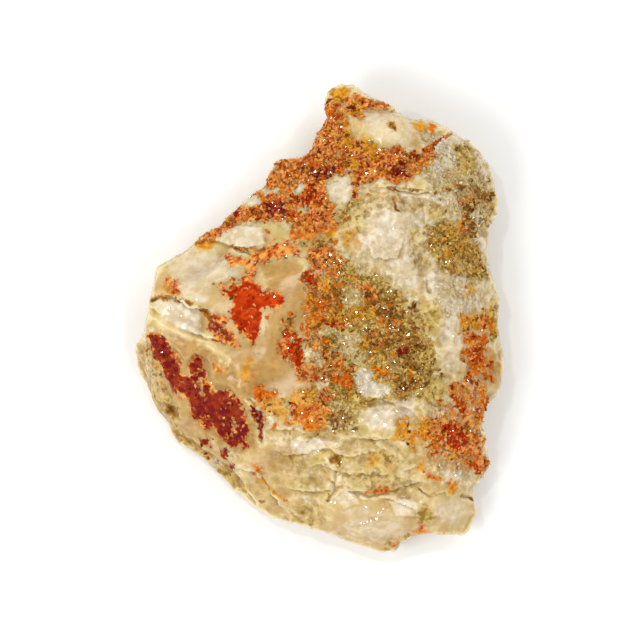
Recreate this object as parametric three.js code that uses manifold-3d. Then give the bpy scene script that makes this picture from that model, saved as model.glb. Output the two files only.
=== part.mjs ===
// A hand specimen of jarosite: rusty drusy crusts grown on a broken lump of milky quartz.
// Millimetres, +Z up. The stone lies on its flat broken underside with its narrow tip towards +Y
// and its steep side towards +X. The origin is on the rest face, under the middle of the stone.

import * as THREE from 'three';
import { mergeVertices } from 'three/addons/utils/BufferGeometryUtils.js';
import Module from 'manifold-3d';

const wasm = await Module();
wasm.setup();

// Driving dimensions of the stone
const STONE_WIDTH = 50;
const STONE_LENGTH = 64;
const STONE_MIDDLE = [1.4, 0];
const ABOVE_STONE = 40;
const BELOW_STONE = -4;
const LOWEST_EDGE = 2.5;

// Fineness of the broken surface
const OUTLINE_STEPS = 104;
const TOP_STEP = 1.7;
const TOP_JITTER = 0.36;
const FACET_BLEND = 1.1;
const CHIP_SIZE = 4.6;
const CHIP_TILT = 0.2;
const CHIP_STEP = 0.6;
const ROUGHNESS = 0.25;

// Crusts and their crystals
const CRUST_GAP = 0.3;
const CRUST_DEPTH = 0.45;
const CRUST_FLOOR = 7;
const CRYSTAL_SPACING = 2.7;
const CRYSTAL_SIZES = [0.9, 1.4];
const CRYSTAL_LEAN = 0.95;

// The outline seen from above: from the tip down the steep right side, round the blunt lower end
// and up the long left side.
const OUTLINE = [
  [2.9, 31.8], [4.1, 31.7], [5.6, 30.9], [7.1, 29.9], [8.9, 29.4], [9.7, 28.6], [11.4, 27.3],
  [13.7, 26.9], [15.6, 26.5], [17.2, 25.6], [19.8, 24.8], [20.7, 24.1], [22.1, 22.0],
  [23.5, 19.2], [24.0, 16.3], [23.9, 14.7], [23.1, 11.8], [22.8, 9.5], [23.2, 6.8],
  [24.0, 3.4], [24.3, -1.6], [25.0, -4.1], [25.0, -6.0], [24.4, -9.4], [22.9, -12.1],
  [22.0, -14.8], [23.1, -18.1], [23.3, -19.4], [22.8, -20.8], [20.6, -23.7], [21.7, -24.9],
  [21.3, -26.2], [19.9, -28.8], [19.4, -29.6], [17.6, -29.4], [14.6, -29.1], [12.6, -29.6],
  [11.2, -30.6], [9.7, -32.0], [7.0, -31.3], [3.6, -30.3], [2.1, -29.4], [-2.1, -28.2],
  [-5.4, -27.5], [-8.6, -25.6], [-12.2, -22.6], [-16.3, -18.9], [-18.7, -17.1],
  [-19.8, -16.5], [-20.1, -15.2], [-21.7, -13.5], [-23.1, -10.9], [-24.3, -8.2],
  [-25.0, -5.7], [-24.7, -3.9], [-23.5, -1.2], [-23.1, 2.7], [-22.5, 5.3], [-21.6, 7.1],
  [-19.0, 8.7], [-15.2, 11.7], [-12.2, 13.7], [-10.0, 16.3], [-7.7, 17.8], [-6.2, 19.9],
  [-4.7, 21.6], [-2.7, 21.6], [-0.6, 22.7], [-0.3, 24.5], [1.4, 27.2], [0.9, 29.9],
  [1.3, 31.0],
];

// How far the wall is drawn in below the widest line, as a share of the inset at the rest face.
const WALL_PROFILE = [
  { level: 0, drawnIn: 1 },
  { level: 0.15, drawnIn: 0.58 },
  { level: 0.45, drawnIn: 0.18 },
  { level: 0.8, drawnIn: 0 },
  { level: 1.3, drawnIn: 0.03 },
];
const WALL_INSET = 0.55;
const WALL_UNEVENNESS = 0.35;

// The broken planes that bound the stone from above. Each falls away towards a compass angle,
// counted from +X, and the lowest plane over a spot is the surface there.
const FACETS = {
  plateau: { at: [6, 9], height: 21.6, towards: -96, dip: 6 },
  slab: { at: [1.4, 8.2], height: 20.6, towards: 192, dip: 11 },
  upperLeftBevel: { at: [-9, 16], height: 11.5, towards: 130, dip: 33 },
  leftScarp: { at: [-19.2, -10.9], height: 10.4, towards: 221, dip: 30 },
  leftFlank: { at: [-22.6, -11], height: 3.6, towards: 208, dip: 62 },
  lowerLeftBevel: { at: [-11.2, -22.6], height: 4.6, towards: 234, dip: 42 },
  lowerLeftShoulder: { at: [-8, -17.5], height: 11.6, towards: 240, dip: 17 },
  lowerBevel: { at: [6, -31.5], height: 4.6, towards: 270, dip: 44 },
  lowerApron: { at: [6, -24], height: 11.6, towards: 266, dip: 17 },
  lowerRightBevel: { at: [22, -21], height: 5.4, towards: -22, dip: 46 },
  rightBevel: { at: [24.4, -2], height: 6.6, towards: 2, dip: 50 },
  rightShoulder: { at: [18, -2], height: 14.6, towards: -8, dip: 17 },
  upperRightBevel: { at: [21, 22.5], height: 8.6, towards: 44, dip: 40 },
  upperRightShoulder: { at: [16, 17], height: 16.2, towards: 40, dip: 13 },
  tipSlope: { at: [3, 31.8], height: 9.6, towards: 84, dip: 29 },
};

// Broad swells and hollows: a centre, two half widths, the turn of the first one and the rise.
const SWELLS = {
  milkyDome: { at: [9.2, 26.2], spread: [4.2, 2.5], turn: -12, rise: 1.7 },
  upperRightHump: { at: [18.6, 21], spread: [4.4, 3.4], turn: -50, rise: 1.2 },
  paleSlabLip: { at: [-10.6, 11.4], spread: [4.2, 1.6], turn: 18, rise: 0.8 },
  centreHollow: { at: [5.6, -1.5], spread: [9.5, 9], turn: -45, rise: -2.3 },
  rightHollow: { at: [17.5, 9.6], spread: [5, 3.4], turn: 20, rise: -1.2 },
  whiteKnoll: { at: [8.6, -12.6], spread: [3.4, 2.4], turn: 10, rise: 1.1 },
  lowerLobe: { at: [8.6, -27.4], spread: [7.5, 3.6], turn: -8, rise: 1.3 },
  lowerSwale: { at: [-2.4, -20], spread: [6, 2.6], turn: -25, rise: -0.8 },
  cornerLobe: { at: [17, -26], spread: [4.4, 2.8], turn: 12, rise: 1.1 },
};

// Breaks: inside each footprint the stone is cut down to a plane of its own. The plane passes the
// drop below the surface at one spot and dips more gently than the surface, so it runs out again.
const BREAKS = {
  underHollow: {
    at: [5, -11.2], drop: 1.2, towards: 262, dip: 5,
    footprint: [
      [1.8, -14.4], [2.6, -12.4], [3.4, -10.7], [6.2, -11.5], [9.3, -10.7], [12.5, -12.4],
      [14.6, -15.2], [14, -19], [4, -19], [1.2, -17.2],
    ],
  },
  middleBench: {
    at: [4, -16], drop: 1, towards: 258, dip: 5,
    footprint: [
      [-9, -16.6], [-5.4, -15.8], [-2, -16.6], [1, -15.3], [4, -16.4], [7.5, -15.6],
      [10.2, -16.8], [13, -19.4], [15, -24], [3, -25], [-10, -22],
    ],
  },
  lowerBench: {
    at: [6, -22.6], drop: 1.1, towards: 262, dip: 5,
    footprint: [
      [-5.6, -20.6], [-2.4, -20], [0.6, -20.8], [2.2, -22.4], [5, -23.4], [8.8, -22.8],
      [12, -21.6], [15.4, -22.8], [19, -22], [18, -28], [6, -30], [-6, -27],
    ],
  },
  leftFoot: {
    at: [-15.5, -18.4], drop: 1.6, towards: 232, dip: 22,
    footprint: [
      [-20.4, -14.6], [-17.6, -16.6], [-14.3, -18.7], [-12.5, -20.2], [-10.2, -22.8],
      [-8.4, -25.4], [-14, -28], [-26, -18],
    ],
  },
  upperRightStep: {
    at: [15, 17], drop: 0.9, towards: 24, dip: 7,
    footprint: [
      [9.6, 17.8], [13, 17.6], [14.7, 17.1], [17.7, 17.9], [19.1, 18.4], [21, 17.8],
      [26, 17.2], [26, 11], [20, 10.4], [13, 12],
    ],
  },
  whiteChip: {
    at: [-18.4, 1.4], drop: 1.7, towards: 205, dip: 9,
    footprint: [
      [-23.8, 2.4], [-20.6, 3.2], [-18.6, 2.4], [-16.2, 1.3], [-15.1, 0.1], [-15.2, -2],
      [-16.6, -2.4], [-19.4, -1.2], [-21.4, 0.2], [-24, 1],
    ],
  },
  bandPlate: {
    at: [-15.4, -8], drop: 1, towards: 221, dip: 23,
    footprint: [
      [-24, -1], [-22.6, -1.5], [-20.9, -2.2], [-19.1, -4.2], [-18.2, -6.1], [-16.6, -4.6],
      [-15.1, -5], [-14.2, -8.6], [-12.2, -8.6], [-10.5, -11], [-9.4, -14], [-8.8, -17.4],
      [-14, -20], [-22, -14], [-26, -6],
    ],
  },
  paleStep: {
    at: [-15.6, 7.2], drop: 1, towards: 158, dip: 8,
    footprint: [
      [-24, 4.6], [-20.4, 5.4], [-17.5, 5.2], [-14.6, 6.3], [-12.6, 8.1], [-11.6, 10.4],
      [-13, 13], [-18, 12], [-24, 9],
    ],
  },
  tipNotch: {
    at: [5.4, 28.6], drop: 0.8, towards: 70, dip: 14,
    footprint: [
      [3.4, 28.4], [5.2, 27.6], [7.8, 27.9], [10.2, 27.4], [12, 30], [4, 33], [3, 30.4],
    ],
  },
  rightCleft: {
    at: [15.6, 8.4], drop: 1, towards: 300, dip: 2,
    footprint: [
      [12.6, 9.2], [14.8, 10.9], [17.4, 11.4], [19.4, 9.6], [20.4, 6.6], [18, 3.4], [14, 4.4],
    ],
  },
};

// Pits left where crystals fell out.
const PITS = {
  underBand: { at: [-20.1, -12.3], size: [1.1, 1.5, 1.3], turn: 35 },
  besideBench: { at: [10.2, 16.2], size: [0.6, 1.3, 1], turn: 20 },
  domePit: { at: [9.9, 26.4], size: [1, 0.5, 0.6], turn: -25 },
};

// Where the drusy crusts lie, each as the corners of its ragged patch.
const CRUSTS = {
  jarosite_crust_upper: {
    colour: 0xb0481a,
    footprint: [
      [-10.6, 13.8], [-8.4, 16], [-6.3, 17.6], [-5, 19.8], [-3.8, 20.8], [-1.6, 21], [0.2, 21.8],
      [0.8, 24], [2, 26.2], [3.2, 27.2], [3.6, 24.6], [4.8, 23], [8.4, 21.6], [11.2, 23.2],
      [14.6, 23.4], [15, 21.6], [13.2, 19.8], [11.4, 18.8], [8.6, 18.6], [5.2, 18.2], [3.6, 19.4],
      [1.4, 19.2], [0.9, 17.2], [2.2, 15.8], [2.6, 14.2], [0.4, 13.2], [-2.2, 14], [-4.4, 13.2],
      [-6.8, 14], [-9, 13],
    ],
  },
  jarosite_crust_cross: {
    colour: 0xa82c12,
    footprint: [
      [-13, 8.5], [-10.6, 8.8], [-8.4, 9.6], [-6, 10.3], [-3.8, 10.4], [-2.2, 9.8], [-2.4, 8.9],
      [-4.8, 8.2], [-7.2, 7.7], [-8.9, 7.4], [-8.8, 5.4], [-7.4, 4.2], [-5.4, 3.9], [-4.6, 2.6],
      [-5.6, 1.6], [-7.4, 1.5], [-8.2, 0.4], [-8.2, -2.4], [-9, -3.8], [-9.8, -2.8], [-11, -1.4],
      [-12.1, 0.4], [-11.6, 2.2], [-13.8, 3.6], [-13.6, 4.9], [-11.7, 4.3], [-10.4, 4.6],
      [-9.9, 7.3], [-11.6, 7.3], [-12.9, 7.5],
    ],
  },
  jarosite_crust_hollow: {
    colour: 0x9a6a24,
    footprint: [
      [-1.8, 9.2], [0.4, 9.9], [2.4, 9.2], [3.6, 7], [5.6, 5.4], [7.8, 4.6], [9.4, 2.6],
      [11.6, 1.6], [13.4, -0.6], [14.9, -3.4], [15.4, -6], [14.8, -8.2], [12, -8.6], [10.4, -10],
      [8.4, -9.2], [6.6, -7.6], [4.2, -6.4], [4, -8.6], [2.2, -10], [0.4, -9.2], [-1.6, -8.4],
      [-3.2, -6.8], [-4.8, -4.8], [-5, -2.8], [-4.4, -0.8], [-2.4, -1.8], [-0.8, -0.6],
      [0.2, 1.8], [0.2, 4.2], [-1.8, 5.4],
    ],
  },
  jarosite_crust_left_band: {
    colour: 0x86281f,
    footprint: [
      [-22.2, -1.8], [-20.9, -2.8], [-19.6, -4.8], [-18.6, -6.9], [-17.4, -6.8], [-16.9, -5.2],
      [-15.8, -5.4], [-15.2, -7.6], [-14.6, -9.5], [-12.6, -9.2], [-11.2, -11], [-10.4, -13],
      [-9.4, -16.6], [-10.4, -17.4], [-12.4, -16.2], [-14, -14.9], [-15.8, -14.9], [-17.4, -12.8],
      [-18.6, -10.2], [-20.4, -9.2], [-21.4, -6.4], [-22.6, -4],
    ],
  },
  jarosite_crust_lower: {
    colour: 0xb4601c,
    footprint: [
      [-5.8, -12.9], [-3.4, -11.8], [-1.6, -11.2], [0.4, -11.8], [1.4, -13.2], [1, -15],
      [-0.6, -14.6], [-2.4, -14], [-4.4, -14.2], [-6.2, -14.4],
    ],
  },
  jarosite_crust_right_shoulder: {
    colour: 0x6f5426,
    footprint: [
      [14.8, 11.2], [17, 11.8], [18.8, 13.2], [19.2, 15.2], [20.8, 15.4], [20.9, 13], [20.1, 11],
      [21.4, 9.2], [22, 7], [20.6, 6.4], [18.4, 7.2], [16.2, 7.8], [14.9, 9],
    ],
  },
  jarosite_crust_right_edge: {
    colour: 0xb44a14,
    footprint: [
      [18.9, 0.6], [20.6, 1.2], [22.2, 1.4], [23, 0], [22.6, -2], [22.2, -3.6], [22.5, -5.4],
      [21.9, -7], [20.4, -7.5], [19.5, -5.6], [19.6, -3.4], [19, -1.6],
    ],
  },
  jarosite_crust_lower_right: {
    colour: 0xa22f12,
    footprint: [
      [17.2, -8.5], [18.6, -9], [19.4, -10.4], [20, -12], [20.2, -13.6], [21, -14.4],
      [21.2, -17.2], [19.8, -18.4], [18, -18], [16.2, -16.8], [13.6, -16.2], [13.8, -14.8],
      [15.8, -13.4], [17.4, -13.2], [18.4, -12.4], [17.8, -10.8],
    ],
  },
};

const QUARTZ_COLOUR = 0xd8bf92;

const radians = THREE.MathUtils.degToRad;
const clamp = THREE.MathUtils.clamp;

// A repeatable number from 0 to 1 for one cell of a square grid.
function cellRandom(column, row, salt) {
  let mixed = Math.imul(column + 1013, 374761393) ^ Math.imul(row + 2029, 668265263);
  mixed = Math.imul(mixed ^ Math.imul(salt + 37, 2246822519), 3266489917);
  mixed ^= mixed >>> 15;
  mixed = Math.imul(mixed, 2654435761);
  mixed ^= mixed >>> 13;
  return (mixed >>> 0) / 4294967296;
}

// Smooth unevenness from -1 to 1, whose lumps are about one unit wide.
function unevenness(x, y, salt) {
  const column = Math.floor(x);
  const row = Math.floor(y);
  const across = THREE.MathUtils.smoothstep(x - column, 0, 1);
  const along = THREE.MathUtils.smoothstep(y - row, 0, 1);
  const near = THREE.MathUtils.lerp(
    cellRandom(column, row, salt), cellRandom(column + 1, row, salt), across);
  const far = THREE.MathUtils.lerp(
    cellRandom(column, row + 1, salt), cellRandom(column + 1, row + 1, salt), across);
  return 2 * THREE.MathUtils.lerp(near, far, along) - 1;
}

function facetHeight({ at, height, towards, dip }, x, y) {
  const away = (x - at[0]) * Math.cos(radians(towards)) + (y - at[1]) * Math.sin(radians(towards));
  return height - away * Math.tan(radians(dip));
}

// The lower of two heights, with the edge between them rounded over.
function roundedLower(first, second) {
  const share = clamp(0.5 + (second - first) / (2 * FACET_BLEND), 0, 1);
  return second + (first - second) * share - FACET_BLEND * share * (1 - share);
}

function swellHeight({ at, spread, turn, rise }, x, y) {
  const cos = Math.cos(radians(turn));
  const sin = Math.sin(radians(turn));
  const across = ((x - at[0]) * cos + (y - at[1]) * sin) / spread[0];
  const along = ((y - at[1]) * cos - (x - at[0]) * sin) / spread[1];
  const inside = Math.max(0, 1 - across * across - along * along);
  return rise * inside * inside * (3 - 2 * inside);
}

// Quartz breaks into small flat chips: each chip has its own tilt and sits a little up or down.
function chipHeight(x, y) {
  const column = Math.floor(x / CHIP_SIZE);
  const row = Math.floor(y / CHIP_SIZE);
  let nearest = Infinity;
  let height = 0;
  for (let i = column - 1; i <= column + 1; i += 1) {
    for (let j = row - 1; j <= row + 1; j += 1) {
      const awayX = x - (i + cellRandom(i, j, 1)) * CHIP_SIZE;
      const awayY = y - (j + cellRandom(i, j, 2)) * CHIP_SIZE;
      const distance = Math.hypot(awayX, awayY);
      if (distance < nearest) {
        nearest = distance;
        const tiltX = CHIP_TILT * (2 * cellRandom(i, j, 3) - 1);
        const tiltY = CHIP_TILT * (2 * cellRandom(i, j, 4) - 1);
        height = awayX * tiltX + awayY * tiltY + CHIP_STEP * (cellRandom(i, j, 5) - 0.5);
      }
    }
  }
  return height;
}

function boundingHeight(x, y) {
  const heights = Object.values(FACETS).map((facet) => facetHeight(facet, x, y));
  return heights.reduce(roundedLower);
}

function surfaceHeight(x, y) {
  let height = boundingHeight(x, y);
  for (const swell of Object.values(SWELLS)) {
    height += swellHeight(swell, x, y);
  }
  return height + chipHeight(x, y) + ROUGHNESS * unevenness(x / TOP_STEP, y / TOP_STEP, 9);
}

// Turning geometry into solids and back

function toSolid(geometry) {
  const bare = geometry.clone();
  bare.deleteAttribute('normal');
  bare.deleteAttribute('uv');
  const merged = mergeVertices(bare);
  const vertProperties = new Float32Array(merged.attributes.position.array);
  const triVerts = new Uint32Array(merged.index.array);
  return new wasm.Manifold(new wasm.Mesh({ numProp: 3, vertProperties, triVerts }));
}

function toGeometry(solid) {
  const { vertProperties, triVerts } = solid.getMesh();
  const geometry = new THREE.BufferGeometry();
  geometry.setAttribute('position', new THREE.BufferAttribute(new Float32Array(vertProperties), 3));
  geometry.setIndex(new THREE.BufferAttribute(new Uint32Array(triVerts), 1));
  geometry.computeVertexNormals();
  return geometry;
}

// The largest piece of a geometry, without the loose specks that a cut can leave.
function largestBody(geometry) {
  const index = geometry.index.array;
  const leader = Array.from({ length: geometry.attributes.position.count }, (_, i) => i);
  const find = (corner) => {
    let top = corner;
    while (leader[top] !== top) {
      top = leader[top];
    }
    leader[corner] = top;
    return top;
  };
  for (let i = 0; i < index.length; i += 3) {
    leader[find(index[i + 1])] = find(index[i]);
    leader[find(index[i + 2])] = find(index[i]);
  }
  const sizes = new Map();
  index.forEach((corner) => {
    const body = find(corner);
    sizes.set(body, (sizes.get(body) ?? 0) + 1);
  });
  const [largest] = [...sizes.entries()].reduce((a, b) => (b[1] > a[1] ? b : a));
  geometry.setIndex([...index].filter((corner) => find(corner) === largest));
  return geometry;
}

// An upright prism over a footprint, with a level floor or one that follows a plane.
function prism(footprint, floorHeight = () => BELOW_STONE) {
  const corners = footprint.map(([x, y]) => new THREE.Vector2(x, y));
  const geometry = new THREE.ExtrudeGeometry(new THREE.Shape(corners), {
    depth: 1,
    bevelEnabled: false,
  });
  const position = geometry.attributes.position;
  for (let i = 0; i < position.count; i += 1) {
    const isRoof = position.getZ(i) > 0.5;
    const floor = floorHeight(position.getX(i), position.getY(i));
    position.setZ(i, isRoof ? ABOVE_STONE : floor);
  }
  return toSolid(geometry);
}

// The stone

// The broken wall all round, open above: rings that draw in below the widest line.
function wallSolid() {
  const corners = OUTLINE.map(([x, y]) => new THREE.Vector3(x, y, 0));
  const curve = new THREE.CatmullRomCurve3(corners, true, 'centripetal');
  const outline = curve.getSpacedPoints(OUTLINE_STEPS).slice(0, OUTLINE_STEPS).reverse();
  const rings = WALL_PROFILE.map(({ level, drawnIn }) => outline.map((point) => {
    const edge = Math.max(LOWEST_EDGE, boundingHeight(point.x, point.y));
    const uneven = 1 + WALL_UNEVENNESS * unevenness(point.x / 5, point.y / 5 + level * 4, 21);
    const inset = WALL_INSET * edge * drawnIn * uneven;
    const reach = Math.hypot(point.x - STONE_MIDDLE[0], point.y - STONE_MIDDLE[1]);
    const scale = 1 - inset / reach;
    const x = STONE_MIDDLE[0] + (point.x - STONE_MIDDLE[0]) * scale;
    const y = STONE_MIDDLE[1] + (point.y - STONE_MIDDLE[1]) * scale;
    return [x, y, level * edge];
  }));
  const roof = rings[rings.length - 1].map(([x, y]) => [x, y, ABOVE_STONE]);
  rings.push(roof);

  const count = outline.length;
  const indices = [];
  for (let ring = 0; ring < rings.length - 1; ring += 1) {
    for (let i = 0; i < count; i += 1) {
      const here = ring * count + i;
      const next = ring * count + (i + 1) % count;
      indices.push(here, next, next + count, here, next + count, here + count);
    }
  }
  const footCorners = rings[0].map(([x, y]) => new THREE.Vector2(x, y));
  for (const [a, b, c] of THREE.ShapeUtils.triangulateShape(footCorners, [])) {
    indices.push(c, b, a);
  }
  const roofCorners = roof.map(([x, y]) => new THREE.Vector2(x, y));
  const roofStart = (rings.length - 1) * count;
  for (const [a, b, c] of THREE.ShapeUtils.triangulateShape(roofCorners, [])) {
    indices.push(roofStart + a, roofStart + b, roofStart + c);
  }
  const geometry = new THREE.BufferGeometry();
  geometry.setAttribute('position', new THREE.Float32BufferAttribute(rings.flat(2), 3));
  geometry.setIndex(indices);
  return toSolid(geometry);
}

// A slab larger than the stone, whose upper face is the broken top in small flat facets.
function topSolid() {
  const width = STONE_WIDTH + 6;
  const length = STONE_LENGTH + 6;
  const columns = Math.round(width / TOP_STEP);
  const rows = Math.round(length / TOP_STEP);
  const box = new THREE.BoxGeometry(width, length, 1, columns, rows, 1);
  const position = box.attributes.position;
  for (let i = 0; i < position.count; i += 1) {
    const x = position.getX(i);
    const y = position.getY(i);
    if (position.getZ(i) < 0) {
      position.setZ(i, BELOW_STONE);
    } else {
      const column = Math.round(x / TOP_STEP * 4);
      const row = Math.round(y / TOP_STEP * 4);
      const movedX = x + TOP_STEP * TOP_JITTER * (2 * cellRandom(column, row, 6) - 1);
      const movedY = y + TOP_STEP * TOP_JITTER * (2 * cellRandom(column, row, 7) - 1);
      position.setXYZ(i, movedX, movedY, surfaceHeight(movedX, movedY));
    }
  }
  return toSolid(box);
}

function cutBreak(stone, { at, drop, towards, dip, footprint }) {
  const floor = { at, height: boundingHeight(...at) - drop, towards, dip };
  return stone.subtract(prism(footprint, (x, y) => facetHeight(floor, x, y)));
}

function cutPit(stone, { at, size, turn }) {
  const ball = new THREE.IcosahedronGeometry(1, 1);
  ball.scale(...size);
  ball.rotateZ(radians(turn));
  ball.translate(at[0], at[1], surfaceHeight(...at));
  return stone.subtract(toSolid(ball));
}

function buildStone() {
  let stone = wallSolid().intersect(topSolid());
  stone = Object.values(BREAKS).reduce(cutBreak, stone);
  return Object.values(PITS).reduce(cutPit, stone);
}

// The crusts

// A skin of even depth, just clear of the stone.
function crustSkin(stone, footprint) {
  const outer = stone.translate([0, 0, CRUST_GAP + CRUST_DEPTH]);
  const inner = stone.translate([0, 0, CRUST_GAP]);
  return prism(footprint, () => CRUST_FLOOR).intersect(outer).subtract(inner);
}

// The highest point of a solid over a spot, found from its triangles.
function heightFinder(geometry) {
  const mesh = new THREE.Mesh(geometry, new THREE.MeshBasicMaterial({ side: THREE.DoubleSide }));
  const caster = new THREE.Raycaster();
  const down = new THREE.Vector3(0, 0, -1);
  return (x, y) => {
    caster.set(new THREE.Vector3(x, y, ABOVE_STONE), down);
    const hits = caster.intersectObject(mesh);
    return hits.length > 0 ? hits[0].point.z : null;
  };
}

function isInside(footprint, x, y) {
  let inside = false;
  footprint.forEach(([ax, ay], i) => {
    const [bx, by] = footprint[(i + 1) % footprint.length];
    const spansRow = (ay > y) !== (by > y);
    if (spansRow && x < ax + (bx - ax) * (y - ay) / (by - ay)) {
      inside = !inside;
    }
  });
  return inside;
}

// Jarosite grows as small flat-faced crystals, each leaning its own way and half sunk in the crust.
function crystal(x, y, z, column, row) {
  const sizeShare = cellRandom(column, row, 13);
  const size = THREE.MathUtils.lerp(CRYSTAL_SIZES[0], CRYSTAL_SIZES[1], sizeShare);
  const form = new THREE.OctahedronGeometry(size);
  form.rotateX(CRYSTAL_LEAN * (2 * cellRandom(column, row, 14) - 1) + Math.PI / 2);
  form.rotateY(CRYSTAL_LEAN * (2 * cellRandom(column, row, 15) - 1));
  form.rotateZ(Math.PI * cellRandom(column, row, 16));
  form.translate(x, y, z);
  return toSolid(form);
}

function buildCrust(stone, highest, footprint) {
  let crust = crustSkin(stone, footprint);
  const columnLimit = Math.ceil(STONE_WIDTH / CRYSTAL_SPACING / 2);
  const rowLimit = Math.ceil(STONE_LENGTH / CRYSTAL_SPACING / 2);
  for (let column = -columnLimit; column <= columnLimit; column += 1) {
    for (let row = -rowLimit; row <= rowLimit; row += 1) {
      const x = (column + cellRandom(column, row, 11) - 0.5) * CRYSTAL_SPACING;
      const y = (row + cellRandom(column, row, 12) - 0.5) * CRYSTAL_SPACING;
      const height = isInside(footprint, x, y) ? highest(x, y) : null;
      if (height !== null) {
        crust = crust.add(crystal(x, y, height + CRUST_GAP + CRUST_DEPTH, column, row));
      }
    }
  }
  return crust.subtract(stone.translate([0, 0, CRUST_GAP]));
}

// The specimen

function namedMesh(name, solid, colour, roughness) {
  const material = new THREE.MeshStandardMaterial({ color: colour, roughness, metalness: 0 });
  const mesh = new THREE.Mesh(largestBody(toGeometry(solid)), material);
  mesh.name = name;
  return mesh;
}

const specimen = new THREE.Group();
const stone = buildStone();
const stoneMesh = namedMesh('quartz_matrix', stone, QUARTZ_COLOUR, 0.35);
specimen.add(stoneMesh);

const highest = heightFinder(stoneMesh.geometry);
for (const [name, { colour, footprint }] of Object.entries(CRUSTS)) {
  specimen.add(namedMesh(name, buildCrust(stone, highest, footprint), colour, 0.5));
}

// The middle of the whole box stands over the origin.
const box = new THREE.Box3().setFromObject(specimen);
const middle = box.getCenter(new THREE.Vector3());
specimen.position.set(-middle.x, -middle.y, -box.min.z);

export default specimen;
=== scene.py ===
# %% [markdown]
# # A jarosite specimen on milky quartz
# This notebook dresses a mineral specimen that lies on its flat broken underside. The real thing is
# a lump of milky quartz, cream and tan where it is clean, with thin crusts of small jarosite
# crystals on it in rust red, orange, gold and olive. The camera looks straight down on it.
#
# The part's solids are loaded first. They give the outline and the main planes, and everything
# below is laid over them in the same frame.

import math

import bpy
import numpy as np
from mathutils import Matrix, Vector
from mathutils.bvhtree import BVHTree


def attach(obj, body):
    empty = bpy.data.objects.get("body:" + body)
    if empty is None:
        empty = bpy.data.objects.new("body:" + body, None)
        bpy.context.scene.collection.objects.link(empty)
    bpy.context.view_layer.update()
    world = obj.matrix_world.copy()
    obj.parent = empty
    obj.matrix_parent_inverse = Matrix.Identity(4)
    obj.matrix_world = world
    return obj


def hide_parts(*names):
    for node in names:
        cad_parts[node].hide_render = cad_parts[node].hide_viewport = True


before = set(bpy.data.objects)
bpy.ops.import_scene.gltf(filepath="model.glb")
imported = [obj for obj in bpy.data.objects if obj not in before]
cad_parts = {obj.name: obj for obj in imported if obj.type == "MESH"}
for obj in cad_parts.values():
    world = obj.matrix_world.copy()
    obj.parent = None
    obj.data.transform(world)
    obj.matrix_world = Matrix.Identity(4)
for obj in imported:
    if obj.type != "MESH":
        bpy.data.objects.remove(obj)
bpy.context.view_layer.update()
print("solids:", sorted(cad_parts))

# %% [markdown]
# Everything on the stone is placed as the photograph shows it. One pixel of the photograph is
# 0.136 mm on the stone, so a place is written as the pixel that it has in the 640 by 640 picture,
# and one function turns it into millimetres of the stone's own frame.
#
# Outlines are kept as rows of text, which are short to read and easy to correct: a name, the
# numbers that belong to it, and its corner points as x,y.

# %% Places and measures
MM = 0.001
PIXEL_MM = 0.136
PICTURE_SIDE = 640
PICTURE_CENTRE = (319.5, 320)
STONE_PIXELS = (368, 469)
RIM_HEIGHT = 7


def on_stone(pixels):
    """Pixels of the picture as millimetres on the stone, X to the right and Y up the picture."""
    places = np.array(pixels, dtype=float)
    return np.column_stack([
        (places[:, 0] - PICTURE_CENTRE[0]) * PIXEL_MM,
        (PICTURE_CENTRE[1] - places[:, 1]) * PIXEL_MM,
    ])


def numbers(text):
    """Groups of numbers, written as "12,34 56,78", with one row for each group."""
    return np.array([group.split(",") for group in text.split()], dtype=float)


def patches(text):
    """Reads rows of a name, some numbers and corner points, such as "spot 0.9 12,34 56,78 90,12"."""
    found = {}
    for word in text.split():
        if word[0].isalpha():
            values, corners = found[word] = ([], [])
        elif "," in word:
            corners.append(word.split(","))
        else:
            values.append(float(word))
    return {name: (*values, on_stone(corners)) for name, (values, corners) in found.items()}


print("stone:", [round(PIXEL_MM * side, 1) for side in STONE_PIXELS], "mm")

# %% [markdown]
# The picture was taken from straight above with a long lens. A camera a good way up, with a lens
# long enough to fill the same frame, keeps the high and the low parts of the stone in register.

# %% Camera
CAMERA_HEIGHT = 800
SENSOR = 36
CLIP_START = 0.05
CLIP_END = 5

camera_data = bpy.data.cameras.new("overhead")
camera_data.sensor_width = SENSOR
camera_data.lens = SENSOR * (CAMERA_HEIGHT - RIM_HEIGHT) / (PICTURE_SIDE * PIXEL_MM)
camera_data.clip_start = CLIP_START
camera_data.clip_end = CLIP_END
camera = bpy.data.objects.new("overhead", camera_data)
picture_middle = on_stone([(PICTURE_SIDE / 2, PICTURE_SIDE / 2)])[0]
camera.location = (picture_middle[0] * MM, picture_middle[1] * MM, CAMERA_HEIGHT * MM)
bpy.context.scene.collection.objects.link(camera)
bpy.context.scene.camera = camera
print("lens:", round(camera_data.lens), "mm")

# %% [markdown]
# The light is a bright, even studio light from all round, with one large soft lamp at the lower
# left that throws the faint shadow to the upper right. Two small lamps add the glints that
# crystal faces send back.

# %% Lamps
LIT_PLACE = (0, 0, 8)


def lamp(name, place, side, power, colour=(1, 1, 1)):
    """A square lamp turned to the stone, with its place and its side in millimetres."""
    data = bpy.data.lights.new(name, "AREA")
    data.size = side * MM
    data.energy = power
    data.color = colour
    made = bpy.data.objects.new(name, data)
    made.location = Vector(place) * MM
    direction = Vector(LIT_PLACE) * MM - made.location
    made.rotation_euler = direction.to_track_quat("-Z", "Y").to_euler()
    bpy.context.scene.collection.objects.link(made)
    return made


lamp("soft_key", (-270, -150, 400), side=240, power=0.95, colour=(1, 0.985, 0.96))
lamp("soft_fill", (300, 260, 460), side=360, power=0.62)
GLINT_LAMP = lamp("glint_left", (-120, 160, 520), side=16, power=0.3)
lamp("glint_right", (140, -60, 560), side=14, power=0.25)
print("the glints send back:", GLINT_LAMP.name)

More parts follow.
